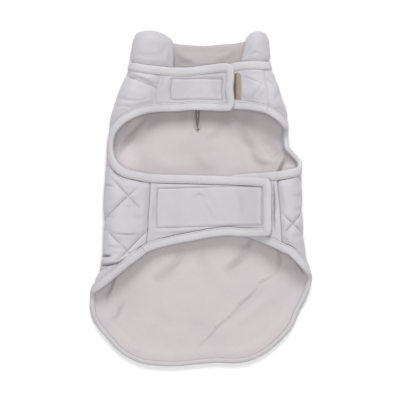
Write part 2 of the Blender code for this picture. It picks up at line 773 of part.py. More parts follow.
def stitch_points():
    """Points along the stitch lines of the folds, one only where two lines cross."""
    lattice, chest = quilt_lines()
    rows = []
    for line in lattice + chest:
        length = np.linalg.norm(line[1] - line[0])
        rows.append(resample(line, np.arange(0, length, QUILT_STEP))[0])
    rows = np.vstack(rows)
    rows = rows[fold_place(rows)[2] > -QUILT_FROM]
    return rows[np.unique(np.round(rows / QUILT_FROM), axis=0, return_index=True)[1]]


def panel_area(edges, seams, loop, slit):
    """The back panel's points and triangles, fine where it folds and coarse where it is flat."""
    fine = staggered(loop.min(0), loop.max(0), FINE)
    coarse = staggered(loop.min(0), loop.max(0), COARSE)
    fine = fine[fold_place(fine)[2] > -FINE_FROM]
    coarse = coarse[fold_place(coarse)[2] < -COARSE_TO]
    fine = fine[to_stitch(fine) > STITCH_CLEAR]
    extra = np.vstack([fine, stitch_points(), coarse])
    extra = extra[inside(extra, loop)]
    around_slit = np.vstack([slit, slit[:1]])
    clear = distance(extra, [edge.dense for edge in edges]) > BINDING_WIDTH + EDGE_CLEAR
    clear &= distance(extra, seams) > EDGE_CLEAR
    clear &= distance(extra, [around_slit]) > SLIT_CLEAR
    hem = inward(edges[0], HEM_LIFT_END)[::2]
    extra = extra[clear & (distance(extra, [hem]) > HEM_CLEAR)]
    welt = slit - outward(around_slit)[:-1] * (WELT_WIDTH + WELT_GAP)
    ribs = [rib for edge in edges for rib in binding_ribs(edge, seams, (BINDING_MIDDLE, BINDING_WIDTH))]
    points = np.vstack([hem, welt, extra])
    return fill([loop, slit], ribs, points[inside(points, loop)])


def strap_area(edge, sewn, loop):
    """A strap's or tab's points and triangles."""
    extra = staggered(loop.min(0), loop.max(0), STRAP_STEP)
    extra = extra[inside(extra, loop)]
    clear = distance(extra, [edge.dense]) > BINDING_WIDTH + EDGE_CLEAR
    extra = extra[clear & (distance(extra, [sewn]) > EDGE_CLEAR)]
    ring = np.unique(np.round(inward(edge, BINDING_WIDTH), 3), axis=0)
    ring = ring[distance(ring, [sewn]) > SEAM_CLEAR]
    return fill([loop], [], np.vstack([ring, extra]))


def strap(name, table, side, middles, ramp):
    """A strap or tab with its binding: the edge from seam end to seam end, and the seam."""
    edge = bound_edge(table, ramp)
    line = points_of(edge)
    sewn = seam(line[-1:], line[:1], middles, side * SEAM_GAP / 2)
    loop = joined(line, sewn)
    wall(name, strap_area(edge, sewn, loop), SHELL_HALF, LINING_FAR, SHELL_CLOTH, ramp)
    binding("binding_" + name, edge, with_middle=False, ramp=ramp)


def tape(name, place, heights, look, ramp=None):
    """A piece of hook or loop tape on the cloth."""
    corners = pattern([(place.side, place.corners)])
    sides = [np.vstack([corners[i], corners[(i + 1) % 4]]) for i in range(4)]
    around = []
    for line in sides:
        length = np.linalg.norm(line[1] - line[0])
        around.append(resample(line, np.linspace(0, length, int(round(length / STRAP_STEP)) + 1))[0])
    loop = joined(*around)
    area = np.cross(np.roll(loop, -1, axis=0), loop).sum()
    loop = loop[::-1] if area > 0 else loop
    extra = staggered(loop.min(0), loop.max(0), STRAP_STEP)
    extra = extra[inside(extra, loop)]
    extra = extra[distance(extra, [np.vstack([loop, loop[:1]])]) > EDGE_CLEAR]
    wall(name, fill([loop], [], extra), max(heights), min(heights), look, ramp)


def neck_edge():
    """The cloth's edge at the neck: bound in front, and sewn to the collar at the back."""
    line = smooth_curve(pattern(NECK))
    held = BINDING_WRAP * ease((turned(line) - NECK_HELD[0]) / (NECK_HELD[1] - NECK_HELD[0]))
    return stationed(trimmed(inset(line, held), SEAM_GAP / 2))


def back_panel():
    """The quilted shell, its lining, the bindings of its edges and the leash slit."""
    edges = [bound_edge(HEM), bound_edge(LEG_RIGHT), neck_edge(), bound_edge(LEG_LEFT)]
    hem, leg_right, neck, leg_left = (points_of(edge) for edge in edges)
    half = SEAM_GAP / 2
    belly_right = seam(hem[-1:], leg_right[:1], BELLY_RIGHT_SEAM, -half)
    chest_right = seam(leg_right[-1:], neck[:1], None, 0.0)
    chest_left = seam(neck[-1:], leg_left[:1], None, 0.0)
    down = (BELLY_LEFT_SEAM[0], BELLY_LEFT_SEAM[1][::-1])
    belly_left = seam(leg_left[-1:], hem[:1], down, half)
    loop = joined(hem, belly_right, leg_right, chest_right, neck, chest_left, leg_left, belly_left)
    slit = slit_loop()
    seams = [belly_right, chest_right, chest_left, belly_left]
    area = panel_area(edges, seams, loop, slit)
    wall("back_panel", area, SHELL_HALF + puffed(area[0], edges, seams), -SHELL_HALF, SHELL_CLOTH)
    wall("back_lining", area, LINING_NEAR, LINING_FAR, FLEECE)
    binding("binding_hem", edges[0], lap=HEM_LAP)
    binding("binding_leg_right", edges[1])
    binding("binding_leg_left", edges[3])
    over = turned(neck) > NECK_BOUND_FROM
    binding("binding_neck_right", Edge(edges[2].dense, edges[2].stations[over & (neck[:, 0] > 0)]))
    binding("binding_neck_left", Edge(edges[2].dense, edges[2].stations[over & (neck[:, 0] < 0)]))
    face, end, beyond = LINING_FAR - BINDING_GAP, SHELL_HALF - WELT_DEPTH, -WELT_GAP - WELT_CLOTH
    welt = [(WELT_WIDTH, face), (WELT_WIDTH, face - WELT_CLOTH), (beyond, face - WELT_CLOTH),
            (beyond, end), (-WELT_GAP, end), (-WELT_GAP, face)]
    carried("leash_slit_welt", slit, welt, FLEECE, closed=True)


def collar():
    """The stand collar: shell and lining, folded at both sides with its two ends in front."""
    bottom = inset(smooth_curve(steered(pattern(COLLAR_BOTTOM))), SEAM_GAP)
    bottom = points_of(stationed(bottom))
    top = points_of(stationed(smooth_curve(steered(pattern(COLLAR_TOP)))))
    top[0], top[-1] = bottom[-1], bottom[0]
    loop = joined(bottom, top)
    extra = staggered(loop.min(0), loop.max(0), FINE)
    coarse = staggered(loop.min(0), loop.max(0), COLLAR_COARSE)
    extra = extra[fold_place(extra)[2] > -COLLAR_FINE_FROM]
    extra = np.vstack([extra, coarse[fold_place(coarse)[2] < -COLLAR_COARSE_TO]])
    extra = extra[inside(extra, loop)]
    extra = extra[distance(extra, [bottom, top]) > EDGE_CLEAR]
    area = fill([loop], [], extra)
    wall("collar_shell", area, SHELL_HALF, -SHELL_HALF, SHELL_CLOTH)
    wall("collar_lining", area, LINING_NEAR, LINING_FAR, FLEECE)


for leftover in list(bpy.data.objects):
    bpy.data.objects.remove(leftover)
HEM_LINE = smooth_curve(pattern(HEM), steps=4)
back_panel()
collar()
strap("chest_strap", CHEST_STRAP, -1, None, CHEST_RAMP)
strap("chest_tab", CHEST_TAB, 1, None, None)
strap("belly_strap", BELLY_STRAP, -1, BELLY_LEFT_SEAM, BELLY_RAMP)
strap("belly_tab", BELLY_TAB, 1, (BELLY_RIGHT_SEAM[0], BELLY_RIGHT_SEAM[1][::-1]), None)
tape("chest_hook_tape", CHEST_HOOK, HOOK_TAPE, HOOK, CHEST_RAMP)
tape("chest_loop_tape", CHEST_LOOP, LOOP_TAPE, LOOP)
tape("belly_hook_tape", BELLY_HOOK, HOOK_TAPE, HOOK, BELLY_RAMP)
tape("belly_loop_tape", BELLY_LOOP, LOOP_TAPE, LOOP)
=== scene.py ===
"""The looks of a padded dog winter coat that lies flat with its belly side up.

Every piece is worked out on the cloth's own pattern, as the solids are, and finer: a place is
(s, y), with s the way along the cloth from the middle of the back and y the way up the coat. Sizes
are in millimetres until a mesh is made.
"""
from collections import namedtuple

import bmesh
import bpy
import numpy as np
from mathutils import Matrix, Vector


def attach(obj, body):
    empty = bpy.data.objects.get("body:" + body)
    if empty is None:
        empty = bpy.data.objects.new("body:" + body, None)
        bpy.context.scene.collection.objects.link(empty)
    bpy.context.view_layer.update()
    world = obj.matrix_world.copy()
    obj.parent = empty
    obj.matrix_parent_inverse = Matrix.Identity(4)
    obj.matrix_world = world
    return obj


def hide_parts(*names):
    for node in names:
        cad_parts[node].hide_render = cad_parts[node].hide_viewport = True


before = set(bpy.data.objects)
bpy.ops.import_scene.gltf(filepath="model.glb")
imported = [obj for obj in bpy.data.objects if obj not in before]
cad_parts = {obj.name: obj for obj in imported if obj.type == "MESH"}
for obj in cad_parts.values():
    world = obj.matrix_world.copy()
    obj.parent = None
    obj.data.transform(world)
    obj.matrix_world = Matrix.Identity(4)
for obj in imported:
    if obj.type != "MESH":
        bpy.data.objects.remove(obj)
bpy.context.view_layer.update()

MM = 0.001
BODY = "root"

# The cloth's build-up, counted outwards from the middle of the shell.
BACK_Z = 1.0
SHELL_HALF = 1.0
LINING_NEAR = -1.3
LINING_FAR = -2.3
BINDING_WRAP = 1.2
BINDING_WIDTH = 10.0
HEM_LAP = 6.0
SEAM_GAP = 0.3
JOIN_GAP = 0.02
RESTING = 0.05
WELD = 0.001
UV_MM = 100.0

# Side folds and the front layer between them.
FOLD_POINT = -0.3
FRONT_REST = 9.5
FRONT_REACH = 75.0
HEM_LIFT = 1.5
HEM_LIFT_WIDTH = 11.0
HEM_LIFT_END = 24.0
HEM_LIFT_TOP = -80.0

# Quilting: stitch lines run both ways at 45 degrees. QUILT_RISING and QUILT_FALLING place them.
QUILT_REPEAT = 71.2
QUILT_RISING = -20.0
QUILT_FALLING = -27.6
QUILT_TOP = 75.0
QUILT_CELLS = 32
QUILT_PUFF = 2.2
QUILT_SOFTNESS = 7.0
QUILT_LINES = 9
CHEST_BLEND = 16.0
HIDDEN_OFF = 12
HIDDEN_FROM = 0.45

# Straps, tapes and the neck's edge.
STRAP_LIFT = 6.5
CHEST_RAMP = (-56.0, -22.0)
BELLY_RAMP = (-66.0, -17.0)
LOOP_TAPE = (1.5, 2.4)
HOOK_TAPE = (-3.7, -2.8)
NECK_BOUND_FROM = 0.35
NECK_HELD = (0.1, 0.3)

# Spacings and reaches of the meshes, and from how many degrees a wall's or binding's edge is sharp.
STRAP_CELL = 1.0
COLLAR_CELL = 1.3
TAPE_CELL = 1.6
STATION_STEP = 2.6
STATION_BEND = 0.12
CURVE_STEPS = 12
LOOP_REACH = 80
CORNER_SLACK = 0.04
SMALL_STEP = 0.2
EDGE_REACH = 35.0
CHUNK = 4000
WALL_SHARP = 50
BINDING_SHARP = 60

Fold = namedtuple("Fold", "y left right rise")
FOLDS = [Fold(*row) for row in (
    (-222, -140, 121, 8), (-190, -128, 121, 9), (-160, -139.5, 126, 11), (-140, -143, 131.5, 13.5),
    (-120, -141.5, 138, 17), (-104, -135, 142, 20), (-88, -128.5, 138.5, 22.5),
    (-72, -124.5, 133.5, 24), (-30, -124.5, 129.5, 26), (10, -123, 128.5, 26),
    (46, -121.5, 129, 27), (70, -120, 111.5, 28), (95, -116, 111, 28), (120, -110.5, 107, 28),
    (140, -104, 100.5, 28), (160, -95.5, 92.5, 27), (179, -91, 87.5, 26), (200, -87, 86, 23),
    (222, -82, 83, 19))]

# Edges seen from above, each a run of stretches: the layer it is on and its places (x, y) there.
# At a crest only y is given. The first and last places only steer a bound edge's ends.
HEM = [
    ("left", [(-56, -64), (-72, -70.5), (-95, -88), (-113, -103), (-129, -116)]),
    ("left crest", [-127]),
    ("back", [
        (-144, -139), (-139, -159.5), (-120, -184.5), (-103.5, -201), (-79, -213.5), (-54, -217),
        (-33, -217.5), (0, -214.5), (18.5, -213), (45.5, -213.5), (60, -211.5), (80.5, -203),
        (101.5, -186.5), (118, -168), (128.5, -145), (138.5, -121)]),
    ("right crest", [-106.5]),
    ("right", [(132, -91.5), (114.5, -73), (106.5, -69), (97, -64.5)]),
]
LEG_RIGHT = [
    ("right", [(79, 34.5), (98.5, 36), (115.5, 39), (127, 42.5)]),
    ("right crest", [49, 60, 73, 85]),
    ("right", [(107, 93), (94.5, 104.5), (83.5, 111), (61.5, 115.5)]),
]
NECK = [
    ("right", [(66, 179), (82, 178.5)]),
    ("right crest", [178.5]),
    ("back", [(74, 177), (44, 174), (-1.5, 172), (-47, 174), (-78, 176.5)]),
    ("left crest", [178]),
    ("left", [(-80.5, 176), (-68.5, 174), (-57, 173), (-35.5, 171)]),
]
LEG_LEFT = [("left", [
    (-35, 114), (-56.5, 113), (-68, 111.5), (-84, 106.5), (-99, 98), (-112, 83.5), (-115, 66.5),
    (-109.5, 50.5), (-99, 40.5), (-82.5, 36), (-66, 33), (-35, 32)])]
CHEST_STRAP = [("left", [
    (-68.5, 174), (-57, 173), (-35.5, 171), (-15, 171.5), (10.5, 174.5), (32.5, 176.5),
    (40.5, 174.5), (44.5, 169.5), (45, 157.5), (45, 131.5), (44.5, 120.5), (40, 115.5), (30, 114.5),
    (10.5, 115), (-9.5, 115.5), (-35, 114), (-56.5, 113), (-68, 111.5)])]
CHEST_TAB = [("right", [
    (94.5, 104.5), (83.5, 111), (61.5, 115.5), (48, 116.5), (31, 117.5), (-13, 118.5), (-19, 123),
    (-20.5, 132), (-20.5, 152), (-19, 162), (-13, 166.5), (5, 169.5), (24.5, 172.5), (37.5, 175.5),
    (48, 178), (66, 179), (82, 178.5), (87, 178.5)])]
BELLY_STRAP = [("left", [
    (-82.5, 36), (-66, 33), (-35, 32), (1.5, 31), (50.5, 29.5), (80.5, 27.5), (89.5, 25.5),
    (92.5, 19), (93, -1), (93, -29.5), (92.5, -42), (89, -47), (79, -48), (56.5, -48.5),
    (33.5, -47.5), (14, -49.5), (-2.5, -52.5), (-34, -58.5), (-56, -64), (-72, -70.5), (-95, -88)])]
BELLY_TAB = [("right", [
    (114.5, -73), (106.5, -69), (97, -64.5), (79, -56.5), (68, -52), (58.5, -48), (45.5, -45.5),
    (27, -44.5), (5, -43.5), (-9, -42), (-14, -37), (-14.5, -20.5), (-14.5, -1), (-14, 14.5),
    (-8.5, 19.5), (6.5, 22), (24.5, 27), (39, 30.5), (54.5, 33), (79, 34.5), (98.5, 36), (115.5, 39)])]
COLLAR_BOTTOM = [
    ("left", [(-35, 171), (-57, 173), (-68.5, 174), (-80.5, 176)]),
    ("left crest", [178]),
    ("back", [(-78, 176.5), (-47, 174), (-1.5, 172), (44, 174), (74, 177)]),
    ("right crest", [178.5]),
    ("right", [(82, 178.5), (66, 179), (51, 179)]),
]
COLLAR_TOP = [
    ("right", [(51, 179), (54.5, 192), (56.5, 202), (59, 209.5), (64.5, 215.5), (73, 218)]),
    ("right crest", [215.5]),
    ("back", [
        (66, 208.5), (50.5, 204), (26, 201.5), (7, 200), (-18, 201), (-37, 203.5), (-56, 208.5),
        (-69, 213)]),
    ("left crest", [216.5]),
    ("left", [
        (-65.5, 218.5), (-54, 216.5), (-45, 212.5), (-38.5, 207.5), (-36.5, 202.5), (-35, 194.5),
        (-35, 171)]),
]
# The belly seams, upwards from the hem, and the same two downwards.
BELLY_LEFT_SEAM = ("left", [(-69, -37.5), (-67.5, -7.5)])
BELLY_RIGHT_SEAM = ("right", [(104, -37.5), (102, -7.5)])
BELLY_LEFT_SEAM_DOWN, BELLY_RIGHT_SEAM_DOWN = (
    (layer, places[::-1]) for layer, places in (BELLY_LEFT_SEAM, BELLY_RIGHT_SEAM))
CHEST_QUILTING = [
    ("left", [(-57, 144.5), (-95, 161)]),
    ("right", [(88, 152), (105, 128)]),
]
CHEST_HOOK = ("left", [(-40, 129), (27, 129), (27, 157), (-40, 157)])
CHEST_LOOP = ("right", [(-6.5, 132), (53, 129.5), (53, 165), (-6.5, 152)])
BELLY_HOOK = ("left", [(-57, -34), (80, -34), (80, 15.5), (-57, 15.5)])
BELLY_LOOP = ("right", [(-2, -31), (82, -31), (82, 8), (-2, 8)])
# The boxes stitched through the straps round their hook tapes.
CHEST_BOX = ("left", [(-39.5, 129.3), (29.5, 129.3), (29.5, 156.5), (-39.5, 156.5)])
BELLY_BOX = ("left", [(-57, -37.5), (80.5, -33.5), (80.5, 17.5), (-57, 13.5)])
SLIT_MIDDLE = (-4.9, 115.0)
SLIT_HALF_LENGTH = 25.0
SLIT_HALF_WIDTH = 3.5
SLIT_POINTS = 24
WELT_WIDTH = 2.5


def on(layer, rows):
    """Creases listed on a layer: how deep (a ridge is negative), how wide, and where."""
    return [(layer, depth, width, places) for depth, width, *places in rows]


SHELL_CREASES = on("left", [
    (1.3, 1.2, (-114, -44.3), (-98, -45.5), (-80, -45)),
    (0.9, 1.2, (-124, 18.5), (-118, 17.5), (-110.5, 17.8)),
    (2.5, 1.6, (-131, -75.5), (-124, -74.5), (-115, -73.5)),
    (2.9, 1.7, (-138, -86), (-124, -86), (-108, -83), (-97, -77)),
    (0.5, 1.2, (-102, -8.5), (-96, -9), (-90, -9.5)),
    (1.1, 1.1, (-96, 166), (-82, 158), (-70, 153), (-56.5, 145)),
    (0.6, 1.4, (-94, 158), (-84, 156), (-74, 157)),
    (0.7, 1.4, (-112, 134), (-100, 130), (-84, 127.5), (-68, 131)),
    (0.5, 1.6, (-113, 118), (-101, 121), (-88, 118.5)),
    (-0.7, 6, (-100, 143), (-84, 138), (-72, 133)),
    (0.5, 2.2, (-124, -20), (-116, -22.5), (-109, -21)),
    (0.6, 2, (-118, 47), (-108, 30), (-98, 23)),
    (-0.8, 3.5, (-112, 47), (-103, 33), (-93, 27)),
    (0.4, 3, (-88, -22), (-80, -24), (-73, -21)),
    (0.5, 2.2, (-122, -60), (-110, -62), (-100, -58)),
    (-0.9, 4, (-128, -81), (-118, -80), (-106, -78)),
]) + on("right", [
    (0.5, 2.4, (131, 6), (124, 4.5), (116, 6)),
    (0.4, 2.4, (130, 24), (121, 21), (113, 22)),
    (0.5, 2.6, (130, -16), (124, -13), (119, -14)),
    (0.5, 2.4, (131, -49), (125, -47), (117, -50)),
    (0.4, 2.4, (117, -62), (111, -56), (107, -47)),
    (-0.6, 5, (104, 24), (107, 12), (106, -2)),
    (0.7, 1.6, (90, 120), (85, 127), (84.5, 133)),
    (0.7, 1.8, (103, 140), (96, 134), (92, 125)),
    (-0.9, 5, (96, 152), (92, 143), (88, 138)),
    (0.6, 2.2, (107, 112), (101, 117), (95, 118)),
])
# Soft spots, where the padding hides the stitch lines: the layer, the middle, the reach and how far.
SOFT_SPOTS = [
    ("left", (-86, 14), 6, 0.6), ("left", (-122, -45), 5, 0.8), ("left", (-78, 18), 13, 0.85),
    ("left", (-117, 33), 12, 0.8), ("left", (-73, -17), 10, 0.75), ("left", (-105, -61), 5, 0.4),
    ("left", (-115, -80), 9, 0.95), ("left", (-125, -40), 8, 0.95), ("right", (97, 140), 12, 0.7),
    ("right", (103, -14), 9, 0.8), ("right", (104, -48), 8, 0.7)]
# Where the cloth tucks in deeply beside a binding, with a darker painted shadow: the layer, how deep, and
# where.
SHELL_TUCKS = [
    ("left", 0.9, [(-117, 37), (-101, 28), (-84, 26), (-70, 25)]),
    ("left", 1, [(-130, -86), (-112, -77), (-92, -68), (-70, -60), (-56, -52)]),
    ("right", 1, [(98, -52), (114, -57), (132, -72), (136, -79)]),
    ("right", 0.7, [(84, 25), (104, 26), (122, 30)]),
]
CHEST_STRAP_TUCKS = [
    ("left", 0.9, [(-50, 162), (-15, 161), (30, 166), (36, 150), (34, 126), (0, 125), (-48, 124)]),
]
CHEST_TAB_TUCKS = [
    ("right", 0.8, [(50, 168), (66, 169), (82, 168)]),
    ("right", 0.8, [(52, 126), (66, 125), (86, 119)]),
]
BELLY_STRAP_TUCKS = [
    ("left", 0.75, [(-66, 24), (-30, 22), (40, 20), (80, 18)]),
    ("left", 0.85, [(82, -37), (60, -38), (30, -38), (0, -43), (-40, -50), (-62, -58)]),
]
BELLY_TAB_TUCKS = [
    ("right", 0.9, [
        (98, 26), (60, 24), (20, 16), (-4, 8), (-4, -30), (30, -34), (70, -42), (100, -56)]),
]
# Tucks along all of a binding: how deep (and how dark its painted shadow), where it sinks, where the
# painted shadow line lies, and a deep tuck's fading ends.
SHELL_TUCK = 0.3
STRAP_TUCK = 0.25
TUCK_SINK = 0.5
TUCK_OFF = 0.5
TUCK_MARK = 0.45
TUCK_FADE = 0.12
# How deep seams show, in the groove and as painted shade, at the chest and at the belly, how wide, and how
# much finer than a tuck.
SEAM_DEPTHS = (0.08, 0.42)
SEAM_WIDTH = 0.9
SEAM_CRISPNESS = 1.5
# Of the creases: how far each reaches, its banks' height and place, and its wandering, in its own sizes.
CREASE_REACH = 5
BANK_HEIGHT = 0.32
BANK_OFF = 2.1
WANDER = 0.3
# What a wall carries where nothing is marked: no painted shade or tuck, and no line or edge in reach.
UNMARKED = {"crease": 0.0, "line": 50.0, "edge": 50.0, "tuck": 0.0}
TACK_BARS = (0.1, 0.7, 1.3)
TACK_SPAN = (-0.7, 2.7)
# Painted shade laid evenly over the collar's cloth, and over the straps that have a stitched box.
COLLAR_SHADE = 0.15
STRAP_SHADE = 0.1
# Painted shade on each row of the slit welt's profile, darkest in the slit.
WELT_SHADES = [0.22, 0.22, 0.25, 0.32, 0.5, 0.8, 1.0, 1.0, 1.0, 1.0, 0.3]
# A stitch: where its rings lie along it, their sizes, and how deep its ends go.
STITCH = np.array([[-0.5, -0.36, 0, 0.36, 0.5], [0.15, 0.8, 1, 0.8, 0.15], [0.9, 0.3, 0, 0.3, 0.9]])
STITCH_SIDES = 5
STITCH_LINE = 8.4
STITCH_PROUD = 0.08
STITCH_CLEAR = 1.5
STITCH_SAMPLE = 1.2
LEAST_RUN = 8
# Painted light and shade on the lining, as the shadow under the chest strap: each spot's middle, reach and
# how much darker it looks (negative is painted light).
LINING_PAINTED_LIGHT_AND_SHADE = [
    ((-66, 102), 11, 0.3), ((-101, 62), 13, -0.45), ((-92, 47), 10, -0.15), ((-50, 105), 15, 0.4),
    ((-22, 109), 15, 0.5), ((6, 110), 15, 0.55), ((34, 109), 15, 0.5), ((60, 104), 12, 0.35),
    ((0, -165), 40, 0.03), ((117, 45), 9, -0.4), ((130, -84), 6, 0.5), ((-4, 66), 30, 0.12),
    ((-92, -130), 22, 0.12), ((22, 102), 12, 0.15), ((42, 86), 11, 0.2), ((56, 72), 10, 0.15),
    ((-3, 92), 7, 0.15)]
CHEST_STRAP_CREASES = on("left", [
    (0.6, 1.3, (-36, 163), (-5, 161.5), (22, 165), (35, 163.5)),
    (0.6, 1.3, (34, 163), (36.5, 148), (34.5, 130)),
    (0.3, 2.4, (-52, 160), (-51, 152), (-53, 144)),
    (0.4, 1.6, (-46, 124.5), (-15, 125), (12, 124.5)),
    (-0.4, 5, (-20, 141), (-2, 144), (14, 139)),
    (-0.5, 3, (18, 147), (23, 139), (19, 134)),
])
CHEST_TAB_CREASES = on("right", [
    (-2.3, 7, (77, 149), (69, 138), (58, 130)),
    (0.5, 1.6, (53, 159), (66, 155), (79, 149.5)),
    (0.6, 1.5, (79, 149.5), (71, 139), (63, 129)),
    (-0.6, 3, (54, 166), (66, 166.5), (80, 165)),
    (0.8, 2.2, (36, 160), (22, 150), (12, 138)),
])
BELLY_STRAP_CREASES = on("left", [
    (0.5, 1.5, (-62, 18), (-20, 20.5), (30, 23), (70, 23)),
    (0.5, 1.5, (-60, -47), (-24, -43.5), (20, -41), (66, -40.5)),
    (-0.6, 2, (-8, 4), (-2, 9.5), (5, 3)),
    (-0.5, 2.6, (5, 2), (13, -12), (18, -24)),
    (0.3, 1.4, (-10, 2), (-3, 7), (4, 1)),
    (-0.4, 6, (-46, 2), (-40, -12), (-44, -26)),
    (0.25, 4, (44, 12), (52, -4), (50, -22)),
    (0.5, 1.6, (-63, 2), (-62, -16), (-63.5, -34)),
])
BELLY_TAB_CREASES = on("right", [
    (2.4, 1.1, (93.5, 23), (94.5, 8), (94.8, -14), (94.4, -40)),
    (0.4, 2, (98, 20), (99, 4), (98.5, -16)),
    (0.6, 2.4, (60, 18), (40, 8), (30, -8)),
    (0.6, 2.4, (96, -40), (84, -41), (70, -38)),
])
LINING_CREASES = on("back", [
    (1, 1.6, (98, -93), (90, -100), (76, -108), (69, -118)),
    (1.4, 1.7, (73, -114), (62, -126), (50, -135), (45, -143)),
    (1.1, 1.6, (50, -137), (36, -152), (22, -164), (12, -176), (-6, -194)),
    (-1.1, 5, (90, -112), (64, -137), (30, -168)),
    (1.9, 3.4, (69, -50), (60, -64), (48, -76), (30, -92)),
    (0.9, 7, (66, -56), (52, -74), (30, -96)),
    (-1, 6, (58, -52), (46, -66), (34, -77)),
    (1.3, 2.4, (98, -62), (101, -76), (101, -88), (96, -97)),
    (3.4, 2.2, (117, -71), (125, -81), (132.5, -91), (136, -101)),
    (2.2, 1.5, (-108, -97), (-114, -112), (-121, -127), (-123.5, -135)),
    (-2.1, 2.6, (-114, -98), (-120.5, -113), (-127, -130)),
    (1.1, 2.6, (-98, -128), (-105, -139), (-110, -150), (-120, -157)),
    (-1, 5, (-90, -126), (-99, -144), (-108, -158)),
    (1.3, 6, (-23, -64), (-31, -78), (-45, -92), (-62, -104)),
    (0.9, 2.4, (-25, -72), (-33, -84), (-42, -90)),
    (0.6, 5, (6, -58), (2, -72), (6, -88)),
    (-0.8, 9, (-70, -150), (-40, -160), (-10, -150)),
    (-0.8, 10, (70, -168), (84, -150), (98, -136)),
    (-0.5, 9, (-60, -180), (-40, -190), (-16, -192)),
    (1.9, 3, (-69, 107), (-80, 93), (-93, 78), (-112, 58)),
    (-1.2, 6, (-60, 104), (-74, 84), (-90, 66)),
    (1.6, 5, (42, 106), (54, 90), (65, 74), (78, 56)),
    (1.3, 4, (66, 66), (73, 54), (82, 50), (92, 51)),
    (0.8, 1.3, (106, 69), (98, 60), (90, 53)),
    (-2, 7, (80, 78), (90, 62), (94, 50)),
    (3.2, 2, (109, 57), (106, 49), (101, 39), (98, 34)),
    (-0.9, 8, (-58, 62), (-30, 58), (0, 62)),
    (0.6, 6, (-12, 60), (4, 46), (24, 40)),
    (0.8, 4.5, (26, 100), (20, 88), (4, 80)),
    (0.9, 5, (-60, 20), (-30, 4), (-8, -20)),
    (0.9, 5, (20, 10), (44, -6), (60, -30)),
    (0.9, 5, (-40, 150), (-20, 142), (6, 146)),
]) + on("left", [
    (1, 4, (-76, -40), (-84, -10), (-80, 12)),
    (1, 4, (-70, 158), (-80, 142), (-74, 126)),
]) + on("right", [
    (1, 4, (108, -40), (114, -14), (110, 10)),
])
COLLAR_SHELL_CREASES = on("left", [
    (0.5, 3.4, (-84, 190), (-70, 187), (-52, 188)),
    (0.4, 3, (-40, 204), (-48, 196), (-52, 184)),
    (-0.7, 6, (-72, 204), (-60, 206), (-50, 202)),
    (0.6, 2.4, (-44, 176), (-41, 184), (-43, 193)),
]) + on("right", [
    (0.7, 2.6, (80, 186), (70, 190), (60, 186)),
    (-0.7, 5, (76, 206), (70, 200), (66, 194)),
    (0.6, 2.4, (60, 204), (62, 195), (58, 185)),
]) + on("back", [
    (0.5, 4, (-50, 192), (-10, 188), (30, 190), (60, 194)),
])
COLLAR_LINING_CREASES = on("back", [
    (-0.8, 6, (-30, 196), (0, 193), (34, 196)),
    (1.2, 4, (-34, 192), (-24, 184), (-8, 180)),
    (0.9, 4, (46, 194), (34, 186), (16, 182)),
    (0.9, 3, (-48, 199), (-40, 188), (-36, 178)),
])

# Finishes: linear colours.
SHELL_LIGHT = (0.528, 0.516, 0.547)
SHELL_DEEP = (0.475, 0.464, 0.498)
SHELL_SHADOW = (0.16, 0.15, 0.175)
FLEECE_WARM = (0.572, 0.522, 0.523)
FLEECE_COOL = (0.548, 0.505, 0.521)
# The fleece's painted shade, which its pile also darkens towards, and its painted light.
FLEECE_PAINTED_SHADE_AND_PILE = (0.30, 0.262, 0.272)
FLEECE_PAINTED_LIGHT = (0.90, 0.84, 0.85)
# The painted shadow colour of the leash slit's welt.
WELT_PAINTED_SHADOW_AND_PILE = (0.12, 0.096, 0.1)
BINDING_LIGHT = (0.560, 0.542, 0.563)
BINDING_DEEP = (0.505, 0.488, 0.511)
HEM_LIGHT = (0.530, 0.499, 0.513)
HEM_DEEP = (0.478, 0.447, 0.461)
HEM_FROM, HEM_TO = -0.19, -0.075
THREAD = (0.50, 0.485, 0.52)
TACK_AND_GAP_SHADOW = (0.10, 0.09, 0.095)
HOOK = (0.52, 0.51, 0.54)
LOOP_LIGHT = (0.40, 0.31, 0.255)
LOOP_DEEP = (0.30, 0.235, 0.20)
# Spans in object x (m): painted shadow in the gap beside the strap's end, and where the tape turns paler
# towards its edge.
LOOP_SHADED = (0.0448, 0.0463)
LOOP_PALE_EDGE = (0.0498, 0.0560)
FLOOR = (0.95, 0.95, 0.95)

# The studio, in metres: each light's name, place, size and power, where the camera is over the
# coat, and how much it sees at the height of the folds' middle.
FLOOR_Z = -0.0003
WORLD_LIGHT = 0.36
LIGHTS = [
    ("overhead", (0, 0, 4.6), 1.6, 76), ("key", (0.2, 3.8, 3), 1.8, 150), ("fill", (0, -2.6, 1.8), 2, 16)]
CAMERA_OVER = (-0.00143, -0.00104)
CAMERA_ABOVE = 4.0
CAMERA_SEES = 0.52
FOLDS_MIDDLE = 0.012

TURN = np.linspace(0.0, 1.0, 401)
HEADING = np.pi * (TURN + FOLD_POINT * np.sin(2 * np.pi * TURN) / (2 * np.pi))
HALFWAY = len(TURN) // 2


def running(steps):
    """The running sum of steps, from 0."""
    return np.concatenate([[0], np.cumsum(steps)])


def summed(values):
    """The running integral of values over TURN."""
    return running((values[1:] + values[:-1]) / 2 * np.diff(TURN))


OUT, UP = summed(np.cos(HEADING)), summed(np.sin(HEADING))


def norms(rows):
    """The length of each row."""
    return np.linalg.norm(rows, axis=1)


def unit(rows):
    """Rows at length 1."""
    return rows / norms(rows)[:, None]


def column(value, count):
    """One value, or a value for each row, as a column."""
    return np.broadcast_to(value, count)[:, None]


def picked(at, run, rows):
    """Rows interpolated at places along their run."""
    return np.stack([np.interp(at, run, part) for part in rows.T], axis=1)


def closed(line):
    """A line with its first point again at its end."""
    return np.vstack([line, line[:1]])


def ease(t):
    """0 below 0, 1 above 1, and 3t^2 - 2t^3 between."""
    t = np.clip(t, 0.0, 1.0)
    return t * t * (3 - 2 * t)


